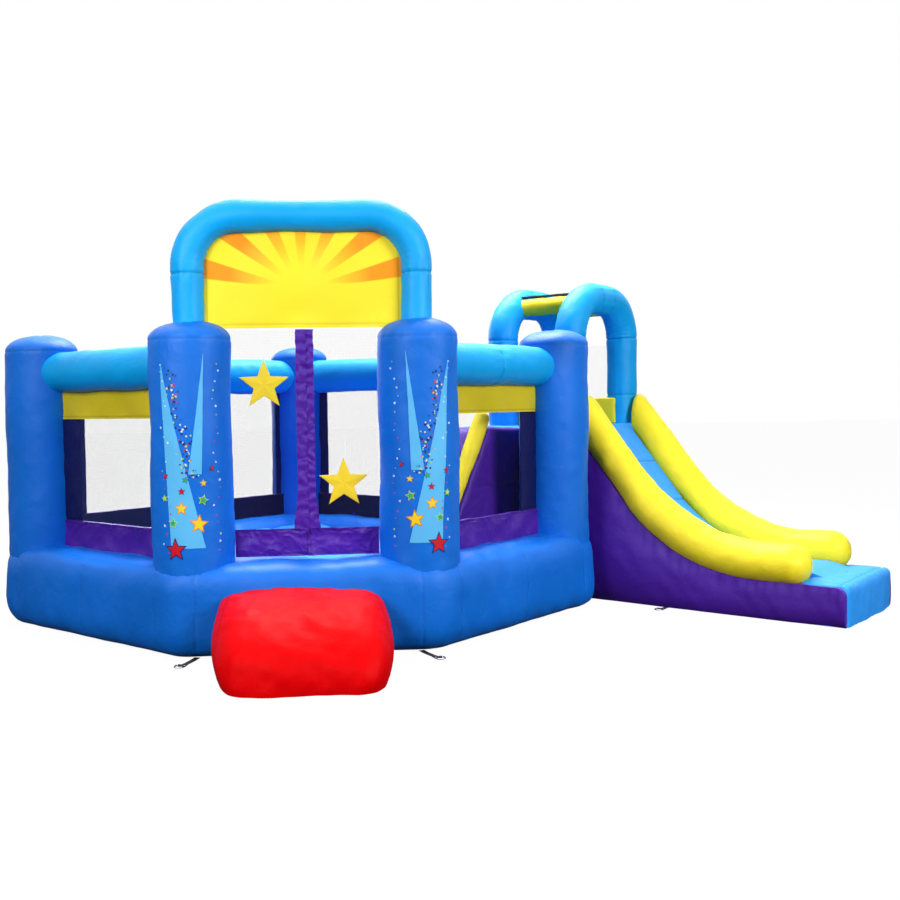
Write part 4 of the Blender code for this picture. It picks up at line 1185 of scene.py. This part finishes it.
def make_slide_mat():
    """The light blue mat between the tubes, sewn across, and the cushion at its foot."""
    inner, outer = 2.60, 3.13
    seams = (0.34, 0.70, 1.06, 1.40)
    foot_u, foot_z, steps = SLIDE_END - 0.12, 0.262, 10
    line = slide_line(-0.052, TOWER_FRONT_U - 0.02, foot_u, 80)
    drop = line[-1][1] - foot_z
    fall = [(foot_u + 0.2 * k / steps, line[-1][1] - drop * (1 - math.cos(math.pi * k / steps)) / 2)
            for k in range(1, steps + 1)]
    path = np.concatenate([line, fall])
    total = run_of(path)
    s = stations(total[-1], 0.02, seams)
    line_u, line_z = (np.interp(s, total, path[:, k]) for k in (0, 1))
    slope_u, slope_z = (np.gradient(values, s)[:, None] for values in (line_u, line_z))
    across = np.linspace(inner, outer, 28)
    height = np.zeros((len(s), len(across)))
    seam = np.zeros_like(height)
    for place in seams:
        away = (s - place)[:, None] * np.ones_like(height)
        height += relief(away, np.broadcast_to(across, height.shape), place, 0.006, 0.002)
        seam = np.maximum(seam, mark(away))
    height += 0.012 * np.sin(math.pi * (across - inner) / (outer - inner))
    front, back = (lane(line_u[:, None] - slope_z * lift, across, line_z[:, None] + slope_u * lift)
                   for lift in (height, -0.06))
    leaf_solid("slide_mat", front, back, "bed", seam, nodes="slide_bed", fill=0.8)
    width = (LANE_INNER + 0.026, LANE_OUTER - 0.026)
    block("slide_cushion", "bed", lane, (SLIDE_END - 0.06, 2.301), width, (-0.05, foot_z), 0.045, 161,
          step=0.02, swell=0.007, seams=(2.245,), crown=0.016, floor=0.0, nodes="slide_toe", fill=0.9)


# --- the tie-downs and the sleeve ---

STRAP_REACH = 0.09


def tie_place(foot, outward):
    """Coordinates out from a tie's foot, across it, and z."""
    outward = unit(outward)
    return placing(foot, outward, np.cross(outward, UP), UP)


def make_strap(name, place, nodes=()):
    """A strap from the base, folded round its ring and stitched back on itself."""
    line = [(-0.11, 0.006), (-0.06, 0.0028), (-0.01, 0.0026)]
    line += [(0.02 + 0.05 * k / 6, 0.0022 + 0.0012 * math.sin(k)) for k in range(7)]
    line += arc((STRAP_REACH, 0.0075), 0.0062, -90, 165, 14)
    line += [(STRAP_REACH - 0.02, 0.0062), (STRAP_REACH - 0.035, 0.0052)]
    line = np.array(line)
    ahead = unit(np.gradient(line, axis=0))
    square = np.stack([-ahead[:, 1], ahead[:, 0]], -1)
    sides = np.linspace(-0.018, 0.018, 13)
    edge = 0.35 + 0.65 * np.sqrt(np.clip(1 - (sides / 0.0182) ** 8, 0, 1))
    faces = []
    for turn in (1, -1):
        out, z = np.moveaxis(line[:, None] + turn * 0.0011 * edge[:, None] * square[:, None], -1, 0)
        faces.append(place(out, sides, np.maximum(z, 0.0003)))
    leaf_solid(name, *faces, "webbing", np.zeros(faces[0].shape[:2]), nodes=nodes)


def make_ring(name, place):
    """A plain steel D-ring lying in its strap, for the ties that don't swing."""
    height, half, radius = 0.0075, 0.027, 0.0035
    bend = arc((STRAP_REACH + 0.018, 0), half, -90, 90, 18)
    path = np.array([(STRAP_REACH, -half), *bend, (STRAP_REACH, half)])
    ahead = unit(np.roll(path, -1, axis=0) - np.roll(path, 1, axis=0))
    turns = 2 * math.pi * np.arange(10) / 10
    out = path[:, :1] + radius * np.cos(turns) * ahead[:, 1:]
    across = path[:, 1:] - radius * np.cos(turns) * ahead[:, :1]
    wrap_solid(name, place(out, across, height + radius * np.sin(turns)), "steel", closed=True)


def make_ties():
    """Two ties at the entrance, whose rings swing, and fixed ones round the rest of the house."""
    for name, sign in (("left", -1), ("right", 1)):
        foot = np.array((sign * (HALF_DOOR + 0.02), -BASE_HALF_WIDTH - 0.003, 0))
        make_strap("tie_" + name, tie_place(foot, (sign * 0.4, -1, 0)), "anchor_strap_" + name)
    fixed = [("slide", lane(1.12, LANE_INNER - 0.002, 0), -V_AXIS)]
    for side, s in (("back_left", 0.30), ("back_right", side_axes("back_right")[1] - 0.35)):
        start, _, along, outward = side_axes(side)
        fixed.append((side, start + s * along + BASE_HALF_WIDTH * outward, outward))
    for name, foot, outward in fixed:
        place = tie_place(foot, outward)
        make_strap("tie_" + name, place)
        make_ring("tie_ring_" + name, place)


def make_sleeve():
    """The cloth sleeve from the house to the blower, gathered under a tied strap at each end."""
    place, length = side_place("back_left")
    start, end, axis_z = BASE_HALF_WIDTH + 0.002, 0.777, 0.098
    ties = (start + 0.05, end - 0.045)
    outs = stations(end - start, 0.012, (0.05, end - start - 0.045)) + start
    turns = turns_of(48)
    share = (outs - start) / (end - start)
    radius = 0.098 - 0.008 * np.sin(math.pi * share)
    for tied in ties:
        radius = radius - 0.006 * mark(outs - tied, 0.014)
    folds = 0.0035 * np.sin(11 * turns + 2 * np.sin(7 * share[:, None]))
    near_tie = sum(mark(outs - tied, 0.06) for tied in ties)
    reach = radius[:, None] + folds * near_tie[:, None]
    reach = reach + 0.0025 * np.sin(outs / 0.011)[:, None] * np.sin(turns * 2 + 1)

    def ring(reach, out, lowest):
        z = np.maximum(axis_z + reach * np.sin(turns), lowest)
        return place(length / 2 + reach * np.cos(turns), out, z)

    wrap_solid("sleeve_cloth", ring(reach, outs[:, None], 0.001), "blue", nodes="inflation_sleeve",
               fill=0.8)
    for k, tied in enumerate(ties):
        shape = ((-0.011, 0.092), (-0.011, 0.0968), (0.011, 0.0968), (0.011, 0.092))
        band = np.array([ring(reach, tied + out, 0.0005) for out, reach in shape])
        wrap_solid(f"sleeve_strap_{k}", band, "webbing", closed=True)


# --- small parts that keep their CAD shape ---

KEPT = {
    "anchor_ring_left": "steel", "anchor_ring_right": "steel", "blower_case": "housing",
    "blower_lid": "housing", "blower_wheel": "fan", "blower_switch": "rocker",
}


def make_kept():
    for name, look in KEPT.items():
        materials = NODES[name].data.materials
        materials.clear()
        materials.append(LOOKS[look])


# --- stage ---

# Strengths of the light from the sky: the heights between which each changes, and its values there.
SKY_LIGHT = (-0.35, 0.9, 0.05, 0.22)
SKY_SHINE = (-0.1, 0.2, 0.05, 1.1)
SKY_TOP = (0.5, 0.98, 0.0, 4.4)
# Each lamp: its name, its place, what it aims at, its size and its power.
LAMPS = (
    ("left", (-4.2, -5.4, 3.7), (-0.3, 0, 0.8), 2.2, 265),
    ("right", (3.9, -5.3, 3.3), (0.5, 0, 0.7), 2.2, 330),
    ("top", (0.0, 1.9, 6.2), (0.1, 0.2, 0.8), 4.0, 720),
    ("behind", (-3.4, 7.4, 2.6), (0.0, 0.6, 0.8), 3.0, 120),
)
FLOOR = [(x, y, -0.002) for x, y in ((-60, -60), (60, -60), (60, 60), (-60, 60))]
FLAG = [(x, -0.88, z) for x, z in ((-2.7, 1.98), (1.2, 1.98), (1.2, 3.1), (-2.7, 3.1))]


def stage_object(name, data):
    made = bpy.data.objects.new(name, data)
    bpy.context.scene.collection.objects.link(made)
    made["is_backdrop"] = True
    return made


def stage_plane(name, corners, unseen, **inputs):
    """A flat sheet of the studio that the kinds of rays in unseen pass through."""
    mesh = bpy.data.meshes.new(name)
    mesh.from_pydata(corners, [], [(0, 1, 2, 3)])
    look = Nodes(name)
    look.set(**inputs)
    mesh.materials.append(look.owner)
    plane = stage_object(name, mesh)
    for rays in unseen:
        setattr(plane, "visible_" + rays, False)


def make_world():
    """A white world for the camera, with softer light and its own shine for everything else."""
    world = bpy.data.worlds.new("studio")
    n = Nodes(world)
    rise = n.add("SeparateXYZ", None, Vector=n.place.node.outputs["Generated"]).outputs["Z"]
    rays = n.add("LightPath").outputs

    def choice(switch, no, yes):
        node = n.add("Mix")
        for k, value in ((0, switch), (2, no), (3, yes)):
            n.put(node.inputs[k], value)
        return node.outputs[0]

    shine = n.math("ADD", n.ramp(rise, *SKY_SHINE), n.ramp(rise, *SKY_TOP))
    unseen = choice(rays["Is Glossy Ray"], n.ramp(rise, *SKY_LIGHT), shine)
    background = n.tree.nodes["Background"]
    n.put(background.inputs["Color"], (1, 1, 1, 1))
    n.put(background.inputs["Strength"], choice(rays["Is Camera Ray"], unseen, 1.0))
    bpy.context.scene.world = world


def make_stage():
    """A pale floor that melts into a white backdrop, and soft lamps in front, above and behind.

    A black flag, out of sight, keeps the front lamps off the back of the room.
    """
    stage_plane("stage_floor", FLOOR, ("diffuse", "glossy"), Base_Color=(0.06, 0.06, 0.06, 1),
                Roughness=0.9, Specular_IOR_Level=0.0, Emission_Color=(1, 1, 1, 1),
                Emission_Strength=0.965)
    stage_plane("stage_flag", FLAG, ("camera", "glossy"), Base_Color=(0.01, 0.01, 0.01, 1))
    make_world()
    for name, place, aim, size, power in LAMPS:
        lamp = bpy.data.lights.new("stage_" + name, "AREA")
        lamp.size = size
        lamp.energy = power
        made = stage_object("stage_" + name, lamp)
        made.location = place
        made.rotation_euler = (Vector(aim) - Vector(place)).to_track_quat("-Z", "Y").to_euler()
    bpy.context.scene.view_settings.view_transform = "Standard"


def make_camera():
    yaw, pitch, roll = 0.0708825, 0.0412570, 0.0160346
    position = (-1.1129, -7.1915, 1.4139)
    level = math.cos(pitch)
    forward = Vector((math.sin(yaw) * level, math.cos(yaw) * level, -math.sin(pitch)))
    right = Vector((math.cos(yaw), -math.sin(yaw), 0))
    down = forward.cross(right)
    x = math.cos(roll) * right + math.sin(roll) * down
    y = math.sin(roll) * right - math.cos(roll) * down
    data = bpy.data.cameras.new("camera")
    data.lens = 42.39
    data.sensor_width = 36
    data.shift_x = 0.0978
    camera = bpy.data.objects.new("camera", data)
    turn = Matrix((x, y, -forward)).transposed().to_4x4()
    camera.matrix_world = Matrix.Translation(position) @ turn
    bpy.context.scene.collection.objects.link(camera)
    bpy.context.scene.camera = camera


make_base()
make_floor()
for number, corner in enumerate(CORNERS):
    make_column(corner, 200 + number)
make_column("post", 210, 0.11, TOP_TUBE_Z + TOP_TUBE_RADIUS + 0.02, 0.05, lane(POST_U, WALL_V, 0),
            "post_skin")
make_print("front_left", 1, 200)
make_print("front_right", -1, 201)
make_top_tubes()
make_arch()
make_sign()
make_door()
make_walls()
make_step()
make_climb()
make_tower()
make_slide_tubes()
make_skirt()
make_slide_mat()
make_ties()
make_sleeve()
make_kept()
make_stage()
make_camera()

sizes = {"cad": CAD_BOUNDS, "visual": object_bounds()}
{key: np.array(value, float).tolist() for key, value in sizes.items()}
